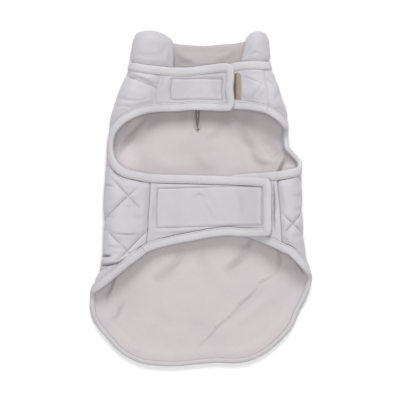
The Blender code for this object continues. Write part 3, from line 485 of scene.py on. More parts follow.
def bell(off, width):
    """exp(-(d / w)^2): 1 on a line, and dying away beside it."""
    return np.exp(-(off / width) ** 2)


def cubic(t, first, last, leaving, arriving):
    """A cubic piece from first to last over t from 0 to 1, with the slopes at its two ends."""
    return (first * (1 - ease(t)) + last * ease(t) + leaving * t * (1 - t) ** 2
            - arriving * t * t * (1 - t))


def fold_column(name, y):
    """A column of FOLDS at heights y: cubic pieces with harmonic mean slopes, which never overshoot."""
    rows_y, rows_v = (np.array([getattr(row, part) for row in FOLDS], float) for part in ("y", name))
    slopes = np.diff(rows_v) / np.diff(rows_y)
    before, after = slopes[:-1], slopes[1:]
    same_way = before * after > 0
    inner = np.where(same_way, 2 * before * after / np.where(same_way, before + after, 1.0), 0.0)
    tangents = np.concatenate([slopes[:1], inner, slopes[-1:]])
    row = np.clip(np.searchsorted(rows_y, y) - 1, 0, len(rows_y) - 2)
    span = rows_y[row + 1] - rows_y[row]
    t = np.clip((y - rows_y[row]) / span, 0.0, 1.0)
    return cubic(t, rows_v[row], rows_v[row + 1], span * tangents[row], span * tangents[row + 1])


def fold_sizes(y):
    """At the heights y: the rise, the cloth in one fold, and where the left and right folds start."""
    rise = fold_column("rise", y)
    length = rise / UP[-1]
    bulge = length * OUT.max()
    return rise, length, fold_column("left", y) + bulge, fold_column("right", y) - bulge


def pattern(stretches):
    """Pattern points of a line that is given as seen from above, by layers."""
    points = []
    for layer, places in stretches:
        side = -1 if layer.startswith("left") else 1
        part = slice(HALFWAY + 1) if layer == "back" else slice(None, HALFWAY - 1, -1)
        for place in places:
            x, y = (None, place) if layer.endswith("crest") else place
            _, length, *starts = (size[0] for size in fold_sizes(np.array([y], float)))
            if layer == "back":
                side = -1 if x < 0 else 1
            start = starts[side > 0]
            beyond = 0.0 if x is None else side * (x - start)
            if x is None:
                past = length / 2
            elif beyond > 0:
                past = length * np.interp(min(beyond / length, OUT.max()), OUT[part], TURN[part])
            else:
                past = beyond if layer == "back" else length - beyond
            points.append((start + side * past, y))
    return np.array(points, float)


def fold_place(points):
    """For pattern points: side (-1 left, 1 right), start of that fold, cloth past it, fold length."""
    s, y = points.T
    _, length, start_left, start_right = fold_sizes(y)
    past_left, past_right = start_left - s, s - start_right
    on_left = past_left > past_right
    return (np.where(on_left, -1.0, 1.0), np.where(on_left, start_left, start_right),
            np.where(on_left, past_left, past_right), length)


def turned(points):
    """How much of its side fold each pattern point has passed, from 0 on the back to 1 in front."""
    _, _, past, length = fold_place(points)
    return np.clip(past / length, 0.0, 1.0)


def lengths_along(line):
    """The running length of a polyline at its points."""
    return running(norms(np.diff(line, axis=0)))


def nearest(points, line):
    """For points and one polyline: the distance, the share of its length, and the nearest place."""
    start, step, run = line[:-1], np.diff(line, axis=0), lengths_along(line)
    size = np.maximum((step ** 2).sum(1), 1e-12)
    found = []
    for first in range(0, max(len(points), 1), CHUNK):
        some = points[first:first + CHUNK]
        to = some[:, None] - start[None]
        t = np.clip((to * step).sum(2) / size, 0, 1)
        off = np.linalg.norm(to - t[..., None] * step, axis=2)
        rows, best = np.arange(len(some)), off.argmin(1)
        part = t[rows, best]
        share = (run[best] + part * (run[best + 1] - run[best])) / run[-1]
        found.append(np.column_stack([off[rows, best], share, start[best] + part[:, None] * step[best]]))
    found = np.vstack(found)
    return found[:, 0], found[:, 1], found[:, 2:]


def distance(points, lines):
    """The distance from each pattern point to the nearest of the polylines."""
    return np.min([nearest(points, line)[0] for line in lines], axis=0)


def folded(points):
    """Where the middle of the shell lies: flat at the back, turned over each side by the integral of
    the fold's heading, and sunk between the folds in front; the hem of the back is a little up."""
    s, y = points.T
    rise, _, start_left, start_right = fold_sizes(y)
    side, start, past, length = fold_place(points)
    turn = np.clip(past / length, 0.0, 1.0)
    out = length * np.interp(turn, TURN, OUT) - np.maximum(past - length, 0.0)
    x = np.where(past > 0, start + side * out, s)
    z = BACK_Z + length * np.interp(turn, TURN, UP)
    sunk = ease((x - start_left) / FRONT_REACH) * ease((start_right - x) / FRONT_REACH)
    z = np.where(past > length, z - (BACK_Z + rise - FRONT_REST) * sunk, z)
    low = (y < HEM_LIFT_TOP) & (turn < 0.5)
    near_hem = np.zeros(len(points))
    to_hem = distance(points[low], [HEM_LINE])
    near_hem[low] = ease((HEM_LIFT_END - to_hem) / (HEM_LIFT_END - HEM_LIFT_WIDTH))
    z = z + HEM_LIFT * near_hem * (1 - ease(turn * 2))
    return np.stack([x, y, z], axis=1)


def slopes_of(surface, points):
    """How a surface function changes over small steps to both sides of points, along s and along y."""
    return [surface(points + step) - surface(points - step) for step in np.eye(2) * SMALL_STEP]


def outward_from(surface, points):
    """The unit normal of a surface function, away from the coat's inside."""
    across, upward = slopes_of(surface, points)
    return unit(np.cross(upward, across))


def cloth(points, ramp=None):
    """Middle surface and outward direction at pattern points. Over its ramp, a strap climbs from
    the cloth it is sewn to on to the tab that it closes on."""
    def climbing(places):
        base = folded(places)
        lift = STRAP_LIFT * ease((base[:, 0] - ramp[0]) / (ramp[1] - ramp[0]))
        return base + outward_from(folded, places) * lift[:, None]

    surface = climbing if ramp else folded
    return surface(points), outward_from(surface, points)


def directions(line):
    """Unit tangents of a polyline at its points."""
    steps = unit(np.diff(line, axis=0))
    return unit(np.vstack([steps[:1], steps[:-1] + steps[1:], steps[-1:]]))


def metric(points):
    """The 2 by 2 form that turns a pattern step into its squared length on the folded cloth."""
    slopes = [slope / (2 * SMALL_STEP) for slope in slopes_of(folded, points)]
    return np.array([[(a * b).sum(1) for a in slopes] for b in slopes]).transpose(2, 0, 1)


def spans(points, others):
    """The way on the folded cloth from each of the points to each of the others."""
    steps = others[None] - points[:, None]
    return np.sqrt(np.einsum("ijk,ikl,ijl->ij", steps, metric(points), steps))


def outward(line):
    """Steps of 1 mm on the folded cloth, square to a line and away from the cloth on its left."""
    tangents = directions(line)
    square = np.stack([tangents[:, 1], -tangents[:, 0]], axis=1)
    steps = np.linalg.solve(metric(line), square[:, :, None])[:, :, 0]
    return steps / np.sqrt((steps * square).sum(1))[:, None]


def outward_round(line):
    """The same steps for a closed line."""
    return outward(np.vstack([line[-1:], closed(line)]))[1:-1]


def smooth_curve(controls, steps=CURVE_STEPS):
    """A curve through the control points; the first and last only steer its ends."""
    ways = np.diff(controls, axis=0)
    lengths = np.diff(running(np.sqrt(norms(ways))))
    slopes = ways / lengths[:, None]
    before, after = lengths[:-1, None], lengths[1:, None]
    tangents = (slopes[:-1] * after + slopes[1:] * before) / (before + after)
    t = np.linspace(0, 1, steps, endpoint=False)[:, None]
    pieces = [cubic(t, controls[i], controls[i + 1], lengths[i] * tangents[i - 1], lengths[i] * tangents[i])
              for i in range(1, len(controls) - 2)]
    return np.vstack(pieces + [controls[-2:-1]])


def drawn(stretches):
    """A smooth pattern line through all its places, its ends steered by their mirrored neighbours."""
    places = pattern(stretches)
    return smooth_curve(np.vstack([2 * places[:1] - places[1:2], places, 2 * places[-1:] - places[-2:-1]]))


def resample(line, at):
    """Points of a polyline at the given lengths along it."""
    return picked(at, lengths_along(line), line)


def trimmed(line, cut):
    """A polyline shortened by cut at each end."""
    run = lengths_along(line)
    inner = run[(run > cut) & (run < run[-1] - cut)]
    return resample(line, np.concatenate([[cut], inner, [run[-1] - cut]]))


Edge = namedtuple("Edge", "dense stations")


def stationed(line, ramp=None):
    """An edge: a dense line, and stations on it that lie closer where the line or the cloth bends."""
    places, normals = cloth(line, ramp)
    step, turn, bend = (norms(np.diff(rows, axis=0)) for rows in (places, normals, directions(places)))
    cost = running(step / STATION_STEP + (turn + bend) / STATION_BEND)
    wanted = np.linspace(0, cost[-1], max(2, int(round(cost[-1])) + 1))
    return Edge(line, np.interp(wanted, cost, np.arange(len(line))))


def at_stations(line, stations):
    """A dense line's points at an edge's stations."""
    return picked(stations, np.arange(len(line)), line)


def points_of(edge):
    """An edge's stations as pattern points."""
    return at_stations(*edge)


def inset(line, amount):
    """A line moved into the cloth by an amount, which may vary along it."""
    return line - outward(line) * column(amount, len(line))


def untangled(line):
    """A line whose small loops are drawn together at the place where they cross themselves."""
    line = line.copy()
    start, step = line[:-1], np.diff(line, axis=0)
    first, last = np.triu_indices(len(step), 2)
    near = last - first < LOOP_REACH
    first, last = first[near], last[near]
    apart = start[last] - start[first]
    turn = np.cross(step[first], step[last])
    turn[np.abs(turn) < 1e-9] = np.inf
    along, back = np.cross(apart, step[last]) / turn, np.cross(apart, step[first]) / turn
    meets = (along >= 0) & (along <= 1) & (back >= 0) & (back <= 1) & np.isfinite(turn)
    for k in sorted(np.flatnonzero(meets), key=lambda k: last[k] - first[k]):
        line[first[k] + 1:last[k] + 1] = start[first[k]] + step[first[k]] * along[k]
    return line


def inward(line, width):
    """A dense edge moved into the cloth; round a tight corner its points meet in the mitre."""
    moved = untangled(inset(line, width))
    apart = spans(moved, line)
    crossed = apart.min(1) < np.diag(apart) * (1 - CORNER_SLACK)
    backwards = (np.diff(moved, axis=0) * np.diff(line, axis=0)).sum(1) < 0
    tangents = directions(line)
    change = np.diff(crossed.astype(int))
    for before, last in zip(np.flatnonzero(change == 1), np.flatnonzero(change == -1)):
        if backwards[before:last + 1].any():
            along = np.array([tangents[before], -tangents[last + 1]]).T
            ahead = np.linalg.solve(along, moved[last + 1] - moved[before])[0]
            moved[before + 1:last + 1] = moved[before] + tangents[before] * ahead
    return moved


def inside(points, loop):
    """Whether each pattern point is inside a closed loop: a ray along +s crosses it an odd number
    of times."""
    a, b = loop, np.roll(loop, -1, axis=0)
    slope = (b[:, 0] - a[:, 0]) / np.where(b[:, 1] == a[:, 1], 1.0, b[:, 1] - a[:, 1])
    answers = []
    for first in range(0, len(points), CHUNK):
        x, y = points[first:first + CHUNK, :1], points[first:first + CHUNK, 1:]
        crosses = (a[:, 1] > y) != (b[:, 1] > y)
        answers.append((crosses & (x < a[:, 0] + (y - a[:, 1]) * slope)).sum(1) % 2 == 1)
    return np.concatenate(answers)


def rim_of(cells):
    """Directed edges that only one cell uses."""
    sides = np.vstack([np.column_stack([cells[:, k], cells[:, (k + 1) % 4]]) for k in range(4)])
    size = cells.max() + 1
    return sides[~np.isin(sides @ [size, 1], sides @ [1, size])]


def cut_out(loop, cell, angle=0.0, origin=(0.0, 0.0), holes=()):
    """A square grid, turned by an angle, cut to the inside of a closed loop: the cells with all four
    corners inside are kept, and their outermost corners are drawn on to the loop."""
    turn = np.array([[np.cos(angle), np.sin(angle)], [-np.sin(angle), np.cos(angle)]])
    steps = (loop - origin) @ turn.T / cell
    low, high = np.floor(steps.min(0)).astype(int), np.ceil(steps.max(0)).astype(int) + 1
    i, j = np.meshgrid(*map(np.arange, low, high), indexing="ij")
    places = (np.stack([i, j], axis=-1).reshape(-1, 2) * cell) @ turn + origin
    within = inside(places, loop)
    for hole in holes:
        within &= ~inside(places, hole)
    number = np.arange(i.size).reshape(i.shape)
    cells = quads(number[:-1, :-1], number[1:, :-1], number[1:, 1:], number[:-1, 1:])
    used, cells = np.unique(cells[within[cells].all(1)], return_inverse=True)
    cells, points = cells.reshape(-1, 4), places[used]
    on_rim = np.unique(rim_of(cells))
    found = [nearest(points[on_rim], closed(line)) for line in (loop, *holes)]
    best = np.argmin([one[0] for one in found], axis=0)
    points[on_rim] = np.array([one[2] for one in found])[best, np.arange(len(on_rim))]
    return points, cells


def quads(*corners):
    """Four-sided faces, from arrays of the numbers of their corners."""
    return np.stack(np.broadcast_arrays(*corners), axis=-1).reshape(-1, 4)


def uneven(places, size, seed):
    """Smooth unevenness from -1 to 1: seeded random heights on a square grid, eased between."""
    count = 64
    heights = np.random.default_rng(seed).uniform(-1, 1, (count, count))
    places = places / size + count / 2
    base = np.floor(places).astype(int)
    (i, j), (u, v) = base.T % count, ease(places - base).T
    k, m = (i + 1) % count, (j + 1) % count
    return ((heights[i, j] * (1 - u) + heights[k, j] * u) * (1 - v)
            + (heights[i, m] * (1 - u) + heights[k, m] * u) * v)


def creased(points, creases):
    """The creases' relief: each is a bell across its line with low banks beside it, and fades
    towards its ends. Returns the height and how deep in a trough a point is, from 0 to 1."""
    height, trough = np.zeros((2, len(points)))
    for number, (layer, depth, width, places) in enumerate(creases):
        line = drawn([(layer, places)])
        reach = width * CREASE_REACH
        near = ((points > line.min(0) - reach) & (points < line.max(0) + reach)).all(1)
        if near.any():
            off, share, _ = nearest(points[near], line)
            fade = np.clip(np.sin(np.pi * share), 0, 1) ** 0.7
            fade = fade * bell(np.maximum(off - reach / 2, 0), reach / 3)
            off = off * (1 + WANDER * uneven(points[near], width * 4, number))
            trench, bank = bell(off, width), bell(off - BANK_OFF * width, width)
            height[near] += depth * fade * (BANK_HEIGHT * bank - trench)
            trough[near] = np.maximum(trough[near], fade * trench * depth / 2)
    return height, trough


def lattice(points):
    """The distance to the nearest quilt line: those of s + y and of s - y, at whole repeats."""
    s, y = points.T
    value = np.array([s + y - QUILT_RISING, s - y - QUILT_FALLING])
    off = (value + QUILT_REPEAT / 2) % QUILT_REPEAT - QUILT_REPEAT / 2
    return (np.abs(off) / np.sqrt(2)).min(0)


def signed(off, positive):
    """A distance, negative on one side of its line, so that it runs straight through the line."""
    return np.where(positive, off, -off)


def to_stitch(points):
    """The distance to the nearest stitch line: the lattice on the back and below the chest, and the
    askew lines on the chest's turned-over sides. Returns it plain, and signed past a chest line."""
    above_belly = ease((points[:, 1] - QUILT_TOP + CHEST_BLEND / 2) / CHEST_BLEND)
    on_chest = above_belly * ease(turned(points) / 0.3)
    plain = lattice(points) * (1 - on_chest) + distance(points, CHEST_LINES) * on_chest
    above = np.zeros(len(points), bool)
    for start, end in CHEST_LINES:
        own = np.sign(points[:, 0]) == np.sign(start[0])
        above |= own & (np.cross(end - start, points - start) > 0)
    return plain, np.where(on_chest > 0.5, signed(plain, above), plain)


def spots(points, rows):
    """What the bells round spots come to, one row a spot: its layer, middle, reach and amount."""
    return [amount * bell(norms(points - pattern([(layer, [place])])), reach)
            for layer, place, reach, amount in rows]


def softness(points):
    """How far the padding hides the stitching at each pattern point, from 0 to 1."""
    return np.max(spots(points, SOFT_SPOTS), axis=0)


def painted_light_and_shade(points):
    """Painted shade on the lining at each pattern point, from the listed spots, negative where painted
    light.
    """
    return sum(spots(points, [("back", *row) for row in LINING_PAINTED_LIGHT_AND_SHADE]))


def seam_depth(places):
    """How deep the seams to the straps show: faint at the chest, and crisp at the belly."""
    return np.where(places[:, 1] > QUILT_TOP, *SEAM_DEPTHS)


def opened(places, sewn):
    """The seams' grooves, by the distance to them."""
    return seam_depth(places) * bell(sewn, SEAM_WIDTH)


def beside(points, tucks, base):
    """How deep the cloth tucks in beside its binding: a base, and more along the lines given."""
    best = np.full(len(points), base)
    for layer, depth, places in tucks:
        off, share, _ = nearest(points, drawn([(layer, places)]))
        fade = ease(share / TUCK_FADE) * ease((1 - share) / TUCK_FADE)
        best = np.maximum(best, depth * fade * ease((9 - off) / 5))
    return best


def sunken(places, bound, tucks, base):
    """How far the cloth sinks beside its binding."""
    return TUCK_SINK * beside(places, tucks, base) * bell(bound - BINDING_WIDTH - TUCK_OFF, 1.0)


def marks(places, bound, to_seam, tucks, base):
    """Where the finish paints a crisp shadow line: the distance to the nearer of a binding's inner edge and
    a seam, and how deep that is, which sets how dark the painted shadow is."""
    edge, sewn = bound - BINDING_WIDTH - TUCK_MARK, SEAM_CRISPNESS * to_seam
    by_seam = sewn < np.abs(edge)
    return {"edge": np.where(by_seam, sewn, edge),
            "tuck": np.where(by_seam, seam_depth(places), beside(places, tucks, base))}


def edge_distance(points, lines):
    """The distance to bound edges, measured on the folded cloth, up to EDGE_REACH."""
    best = np.full(len(points), EDGE_REACH)
    for line in lines:
        off, _, place = nearest(points, line)
        near = np.flatnonzero(off < EDGE_REACH)
        step = place[near] - points[near]
        true = np.sqrt(np.einsum("ik,ikl,il->i", step, metric(points[near]), step))
        best[near] = np.minimum(best[near], true)
    return best


def padding(points, bound, sewn, stitch):
    """How far the padding stands out between stitch lines: 1 - exp(-d / softness), with small
    puckers square to the stitching, and none at edges and seams."""
    free = ease((bound - BINDING_WIDTH - 0.5) / 9) * ease((sewn - 0.3) / 8)
    raised = ease(turned(points) / 0.35)
    full = QUILT_PUFF * (1 - np.exp(-stitch / QUILT_SOFTNESS))
    pucker = 0.5 * uneven(points, 5.0, 11) * np.exp(-stitch / 5) * ease(stitch / 2.0)
    swell = 0.55 * uneven(points, 26.0, 12) + 0.25 * uneven(points, 11.0, 13)
    return free * raised * (full + pucker + swell)


def mesh_of(name, points, faces, uv=None, values=None, sharp=None):
    """A mesh from points in mm and lists of equal-sided faces, turned to face out, put in whole."""
    fans = np.vstack([part[:, [0, k, k + 1]] for part in faces for k in range(1, part.shape[1] - 1)])
    a, b, c = points[fans].transpose(1, 0, 2)
    if (a * np.cross(b, c)).sum() < 0:
        faces = [part[:, ::-1] for part in faces]
    corners = np.concatenate([part.ravel() for part in faces])
    sizes = np.concatenate([np.full(len(part), part.shape[1]) for part in faces])
    mesh = bpy.data.meshes.new(name)
    mesh.vertices.add(len(points))
    mesh.vertices.foreach_set("co", (points * MM).ravel())
    mesh.loops.add(len(corners))
    mesh.loops.foreach_set("vertex_index", corners)
    mesh.polygons.add(len(sizes))
    mesh.polygons.foreach_set("loop_start", running(sizes[:-1]))
    if uv is not None:
        mesh.uv_layers.new(name="UVMap").data.foreach_set("uv", uv[corners].ravel())
    for key, value in (values or {}).items():
        mesh.attributes.new(key, "FLOAT", "POINT").data.foreach_set("value", value)
    mesh.update(calc_edges=True)
    mesh.validate()
    mesh.shade_smooth()
    if sharp:
        mesh.set_sharp_from_angle(angle=np.radians(sharp))
    return mesh


def placed(name, data):
    """A new object in the scene."""
    made = bpy.data.objects.new(name, data)
    bpy.context.scene.collection.objects.link(made)
    return made


def piece(name, mesh, look, node=None):
    """A finished piece in the scene."""
    made = placed(name, mesh)
    mesh.materials.append(LOOKS[look])
    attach(made, BODY)
    if node:
        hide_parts(node)
    return made


def wall(name, area, outer, inner, look, slot, node, ramp=None, **values):
    """A cloth wall: grid points moved along the outward direction to two distances, closed at the
    rim. The values become attributes: painted shade, from a trough's depth and more (painted light where
    negative); line and edge are distances to stitching and to a binding; and tuck is how deep that edge is."""
    points, cells = area
    count = len(points)
    places, normals = cloth(points, ramp)
    both = np.vstack([places + normals * column(way, count) for way in (outer, inner)])
    both[:, 2] = np.maximum(both[:, 2], 0.0)
    a, b = rim_of(cells).T
    faces = [cells[:, ::-1], cells + count, np.column_stack([a, b, b + count, a + count])]
    values = {key: np.tile(np.broadcast_to(value, count), 2) for key, value in (UNMARKED | values).items()}
    mesh = mesh_of(name, both, faces, np.tile(points / UV_MM, (2, 1)), values, WALL_SHARP)
    return piece(name, mesh, look, node)


def carried(name, line, ramp, profile, look, node, swell=0.0, shade=0.0, reach=1.0):
    """A profile carried along a line: its rows are (inwards, outwards) in mm. The line is a pattern
    polyline or an Edge; the profile swells and thins a little on the way. What lies past the line
    is stretched by the reach."""
    widths = {width for width, _ in profile if width > 0}
    looped = not isinstance(line, Edge)
    if looped:
        centre, away = line, outward_round(line)
        moved = {width: line - away * width for width in widths}
    else:
        centre, away = points_of(line), at_stations(outward(line.dense), line.stations)
        moved = {width: at_stations(inward(line.dense, width), line.stations) for width in widths}
    here, normal = cloth(centre, ramp)
    beyond = unit(here - cloth(centre - away * 0.1, ramp)[0])
    run = lengths_along(here)
    way = np.column_stack([run, run * 0])
    puff = uneven(way, 9.0, len(name)) * 0.7 + uneven(way, 3.7, len(name) + 1) * 0.3
    found = {width: cloth(places, ramp) for width, places in moved.items()}
    middle = np.mean([height for _, height in profile])
    rows = []
    for width, height in profile:
        height = height + np.sign(height - middle) * swell * puff * (0 < width < BINDING_WIDTH - 0.5)
        past = here + beyond * column(-width * reach, len(here)) if width <= 0 else None
        places, normals = found.get(width, (past, normal))
        rows.append(places + normals * column(height, len(here)))
    rings = np.stack(rows, axis=1)
    rings[:, :, 2] = np.maximum(rings[:, :, 2], RESTING)
    count, around = rings.shape[:2]
    i, j = np.arange(count if looped else count - 1)[:, None], np.arange(around)[None]
    k, there = (j + 1) % around, (i + 1) % count
    faces = [quads(i * around + j, there * around + j, there * around + k, i * around + k)]
    if not looped:
        faces += [j, (count - 1) * around + j[:, ::-1]]
    across = lengths_along(np.array(profile, float))
    uv = np.stack(np.broadcast_arrays(run[:, None], across[None]), axis=-1).reshape(-1, 2) / UV_MM
    # The shade values are painted shade, one for each row of the profile.
    shades = {"crease": np.tile(np.broadcast_to(shade, around), count)}
    mesh = mesh_of(name, rings.reshape(-1, 3), faces, uv, shades, BINDING_SHARP)
    welded = bmesh.new()
    welded.from_mesh(mesh)
    bmesh.ops.remove_doubles(welded, verts=welded.verts, dist=WELD * MM)
    welded.to_mesh(mesh)
    welded.free()
    return piece(name, mesh, look, node)


def stitched(name, runs, look, pitch=3.2, length=2.5, radius=0.24):
    """Rows of stitches as joined small spindles: rings of points round each stitch's own line. Each
    run is (pattern line, ramp, distance from the middle of the cloth, or a function of points)."""
    rows = []
    for line, ramp, height in runs:
        places = cloth(line, ramp)[0]
        run = lengths_along(places)
        count = int((run[-1] - pitch * 0.5) / pitch)
        if count > 0:
            at = (np.arange(count) + 0.5) * run[-1] / count
            middle = picked(at, run, line)
            here, normal = cloth(middle, ramp)
            height = height(middle) if callable(height) else height
            tangent = picked(at + 0.5, run, places) - picked(at - 0.5, run, places)
            tangent -= normal * (tangent * normal).sum(1)[:, None]
            rows.append((here + normal * column(height, count), unit(tangent), normal))
    centre, along, up = (np.vstack(part)[:, None, None] for part in zip(*rows))
    angle = (np.arange(STITCH_SIDES) * 2 * np.pi / STITCH_SIDES)[:, None]
    ring = (np.cross(along, up) * np.cos(angle) + up * np.sin(angle)) * radius
    lie, size, sink = STITCH[:, :, None, None]
    points = centre + along * (lie * length) + ring * size - up * (sink * radius)
    points[..., 2] = np.maximum(points[..., 2], 0.0)
    rings = len(lie)
    first = (np.arange(len(centre)) * rings * STITCH_SIDES)[:, None, None]
    r, j = np.arange(rings - 1)[:, None] * STITCH_SIDES, np.arange(STITCH_SIDES)
    k = (j + 1) % STITCH_SIDES
    sides = quads(first + r + j, first + r + k, first + r + STITCH_SIDES + k, first + r + STITCH_SIDES + j)
    ends = [first[:, 0] + j[::-1], first[:, 0] + (rings - 1) * STITCH_SIDES + j]
    return piece(name, mesh_of(name, points.reshape(-1, 3), [sides, *ends]), look)


class Socket:
    """A shader value that takes part in sums and products; each adds one Math node."""

    def __init__(self, finish, socket):
        self.finish, self.socket = finish, socket

    def __add__(self, other):
        return self.finish.math("ADD", self, other)

    def __sub__(self, other):
        return self.finish.math("SUBTRACT", self, other)

    def __rsub__(self, other):
        return self.finish.math("SUBTRACT", other, self)

    def __mul__(self, other):
        return self.finish.math("MULTIPLY", self, other)

    def __pow__(self, other):
        return self.finish.math("POWER", self, other)

    __radd__, __rmul__ = __add__, __mul__


class Finish:
    """One procedural material."""

    def __init__(self, name, roughness, sheen=0.0, sheen_roughness=0.5, specular=0.5):
        self.material = bpy.data.materials.new(name)
        self.material.use_nodes = True
        self.tree = self.material.node_tree
        self.shader = self.tree.nodes["Principled BSDF"]
        for name, value in (("Roughness", roughness), ("Sheen Weight", sheen),
                            ("Sheen Roughness", sheen_roughness), ("Specular IOR Level", specular)):
            self.set(name, value)

    def set(self, name, value, node=None):
        """Links a value to a socket, or sets it there."""
        socket = (node or self.shader).inputs[name]
        if isinstance(value, Socket):
            self.tree.links.new(value.socket, socket)
        elif socket.type == "RGBA" and len(value) == 3:
            socket.default_value = (*value, 1.0)
        else:
            socket.default_value = value

    def node(self, kind, *values, output=0, inputs=None, **settings):
        """Adds a node of a type, with its settings first and then its sockets' values or links: the
        first ones in their order, and others by name or number."""
        made = self.tree.nodes.new("ShaderNode" + kind)
        for name, value in settings.items():
            setattr(made, name, value)
        for name, value in {**dict(enumerate(values)), **(inputs or {})}.items():
            self.set(name, value, made)
        return Socket(self, made.outputs[output])

    def math(self, operation, *values):
        """One Math node."""
        return self.node("Math", *values, operation=operation)

    def place(self, source="Object", scale=(1, 1, 1)):
        """Coordinates on the object or its UV map, in millimetres when scaled so."""
        where = self.node("TexCoord", output={"Object": 3, "UV": 2}[source])
        return self.node("VectorMath", where, scale, operation="MULTIPLY")

    def along(self, axis, where=None):
        """One of the coordinates, 0 to 2, by default on the object."""
        return self.node("SeparateXYZ", where or self.place(), output=axis)

    def noise(self, size, detail=3.0, roughness=0.55):
        """Noise of a size in millimetres, from 0 to 1."""
        where = self.place(scale=(1 / (size * MM),) * 3)
        return self.node("TexNoise", inputs={
            "Vector": where, "Scale": 1.0, "Detail": detail, "Roughness": roughness})

    def mix(self, factor, first, second):
        """One colour turning into another."""
        return self.node("Mix", output=2, inputs={0: factor, 6: first, 7: second}, data_type="RGBA")

    def spread(self, value, low=0.0, high=1.0, **settings):
        """A value's range low to high stretched to 0 to 1, and cut off there."""
        return self.node("MapRange", value, low, high, **settings)

    def attribute(self, name):
        """A value that the mesh carries."""
        return self.node("Attribute", output=2, attribute_name=name)

    def near(self, name, low, high):
        """1 where an attribute is closer to 0 than low, and 0 past high."""
        off = self.math("ABSOLUTE", self.attribute(name))
        return 1.0 - self.spread(off, low, high, interpolation_type="SMOOTHSTEP")

    def threads(self, pitch, sharpness):
        """Crossing threads on the UV map: |sin| ridges both ways."""
        turns = UV_MM / pitch * np.pi
        where = self.place("UV", (turns, turns, 0.0))
        return [self.math("ABSOLUTE", self.math("SINE", self.along(axis, where))) ** sharpness
                for axis in (0, 1)]

    def done(self, colour, *layers):
        """Sets the colour and the bumps, one on another, each (height, distance in mm, strength)."""
        self.set("Base Color", colour)
        normal = {}
        for height, size, strength in layers:
            inputs = {"Height": height, "Distance": size * MM, "Strength": strength}
            normal = {"Normal": self.node("Bump", inputs={**inputs, **normal})}
        for name, value in normal.items():
            self.set(name, value)
        return self.material


def shell_finish():
    """Pale padded polyester: a fine plain weave, soft crinkles, painted shade in creases, and dark painted
    shade in the narrow grooves of the stitching and beside the bindings."""
    finish = Finish("shell_cloth", 0.5, sheen=0.12, sheen_roughness=0.4, specular=0.35)
    worn = finish.spread(finish.noise(34, 3), 0.3, 0.75) * 0.35
    broken = finish.spread(finish.noise(3.5, 2), 0.2, 0.6) * 0.35 + 0.65
    # Painted shade: dark lines in the stitching's grooves and beside the bindings where the cloth tucks in,
    # added to the shade the mesh carries.
    sewn = finish.near("line", 0.1, 1.0) * broken * 0.36
    tuck_shadow = finish.near("edge", 0.2, 0.95) * finish.attribute("tuck")
    dark = finish.spread(finish.attribute("crease") * 0.62 + sewn + tuck_shadow)
    finish.set("Roughness", finish.noise(9, 3) * 0.16 + 0.46)
    weave = finish.math("MAXIMUM", *finish.threads(0.5, 0.8))
    return finish.done(
        finish.mix(dark, finish.mix(worn, SHELL_LIGHT, SHELL_DEEP), SHELL_SHADOW),
        (finish.noise(22, 2), 1.0, 0.3), (finish.noise(6, 4, 0.6), 0.35, 0.35),
        (1.0 - (sewn + tuck_shadow), 0.6, 0.5), (weave, 0.03, 0.3))


def fleece_finish(name, deep):
    """Short-pile fleece: clumped pile over a warm and a cooler grey, painted shade in creases and other
    shaded places, and painted light where the mesh's shade value is negative."""
    finish = Finish(name, 0.95, sheen=0.35, sheen_roughness=0.6, specular=0.15)
    blush = finish.mix(finish.spread(finish.noise(48, 2), 0.35, 0.65), FLEECE_WARM, FLEECE_COOL)
    pile, crease = finish.noise(1.6, 3, 0.65), finish.attribute("crease")
    shaded = finish.mix(finish.spread(crease + (1.0 - pile) * 0.14), blush, deep)
    return finish.done(
        finish.mix(finish.spread(crease * -1.0), shaded, FLEECE_PAINTED_LIGHT),
        (finish.noise(13, 3), 1.2, 0.3), (finish.noise(3.5, 2), 0.5, 0.35), (pile, 0.35, 0.5))


def binding_finish():
    """Folded woven tape: fine ribs across it, a soft sheen, painted shade in its stitched groove, and a
    little deeper and warmer towards the tail."""
    finish = Finish("binding_tape", 0.55, sheen=0.12, sheen_roughness=0.4, specular=0.35)
    ribs, _ = finish.threads(0.55, 0.7)
    upper = finish.spread(finish.along(1), HEM_FROM, HEM_TO)
    light, deep = finish.mix(upper, HEM_LIGHT, BINDING_LIGHT), finish.mix(upper, HEM_DEEP, BINDING_DEEP)
    colour = finish.mix(finish.spread(finish.noise(16, 3), 0.3, 0.75) * 0.6, light, deep)
    broken = finish.spread(finish.noise(2.5, 2), 0.3, 0.6) * 0.3 + 0.2
    return finish.done(finish.mix(finish.attribute("crease") * broken, colour, SHELL_SHADOW),
                       (finish.noise(7, 3), 0.6, 0.4), (ribs, 0.05, 0.35))


def thread_finish(name, colour):
    """Sewing thread with a twist of noise."""
    finish = Finish(name, 0.6, sheen=0.1)
    deep = tuple(0.82 * part for part in colour)
    return finish.done(finish.mix(finish.noise(3, 2), colour, deep), (finish.noise(0.4, 2), 0.05, 0.4))


def hook_finish():
    """Hook tape: rows of small stiff hooks."""
    finish = Finish("hook_tape_face", 0.65, specular=0.4)
    rows, columns = finish.threads(1.5, 2.5)
    hooks = rows * columns
    return finish.done(finish.mix(hooks, tuple(0.8 * part for part in HOOK), HOOK), (hooks, 0.5, 0.7))


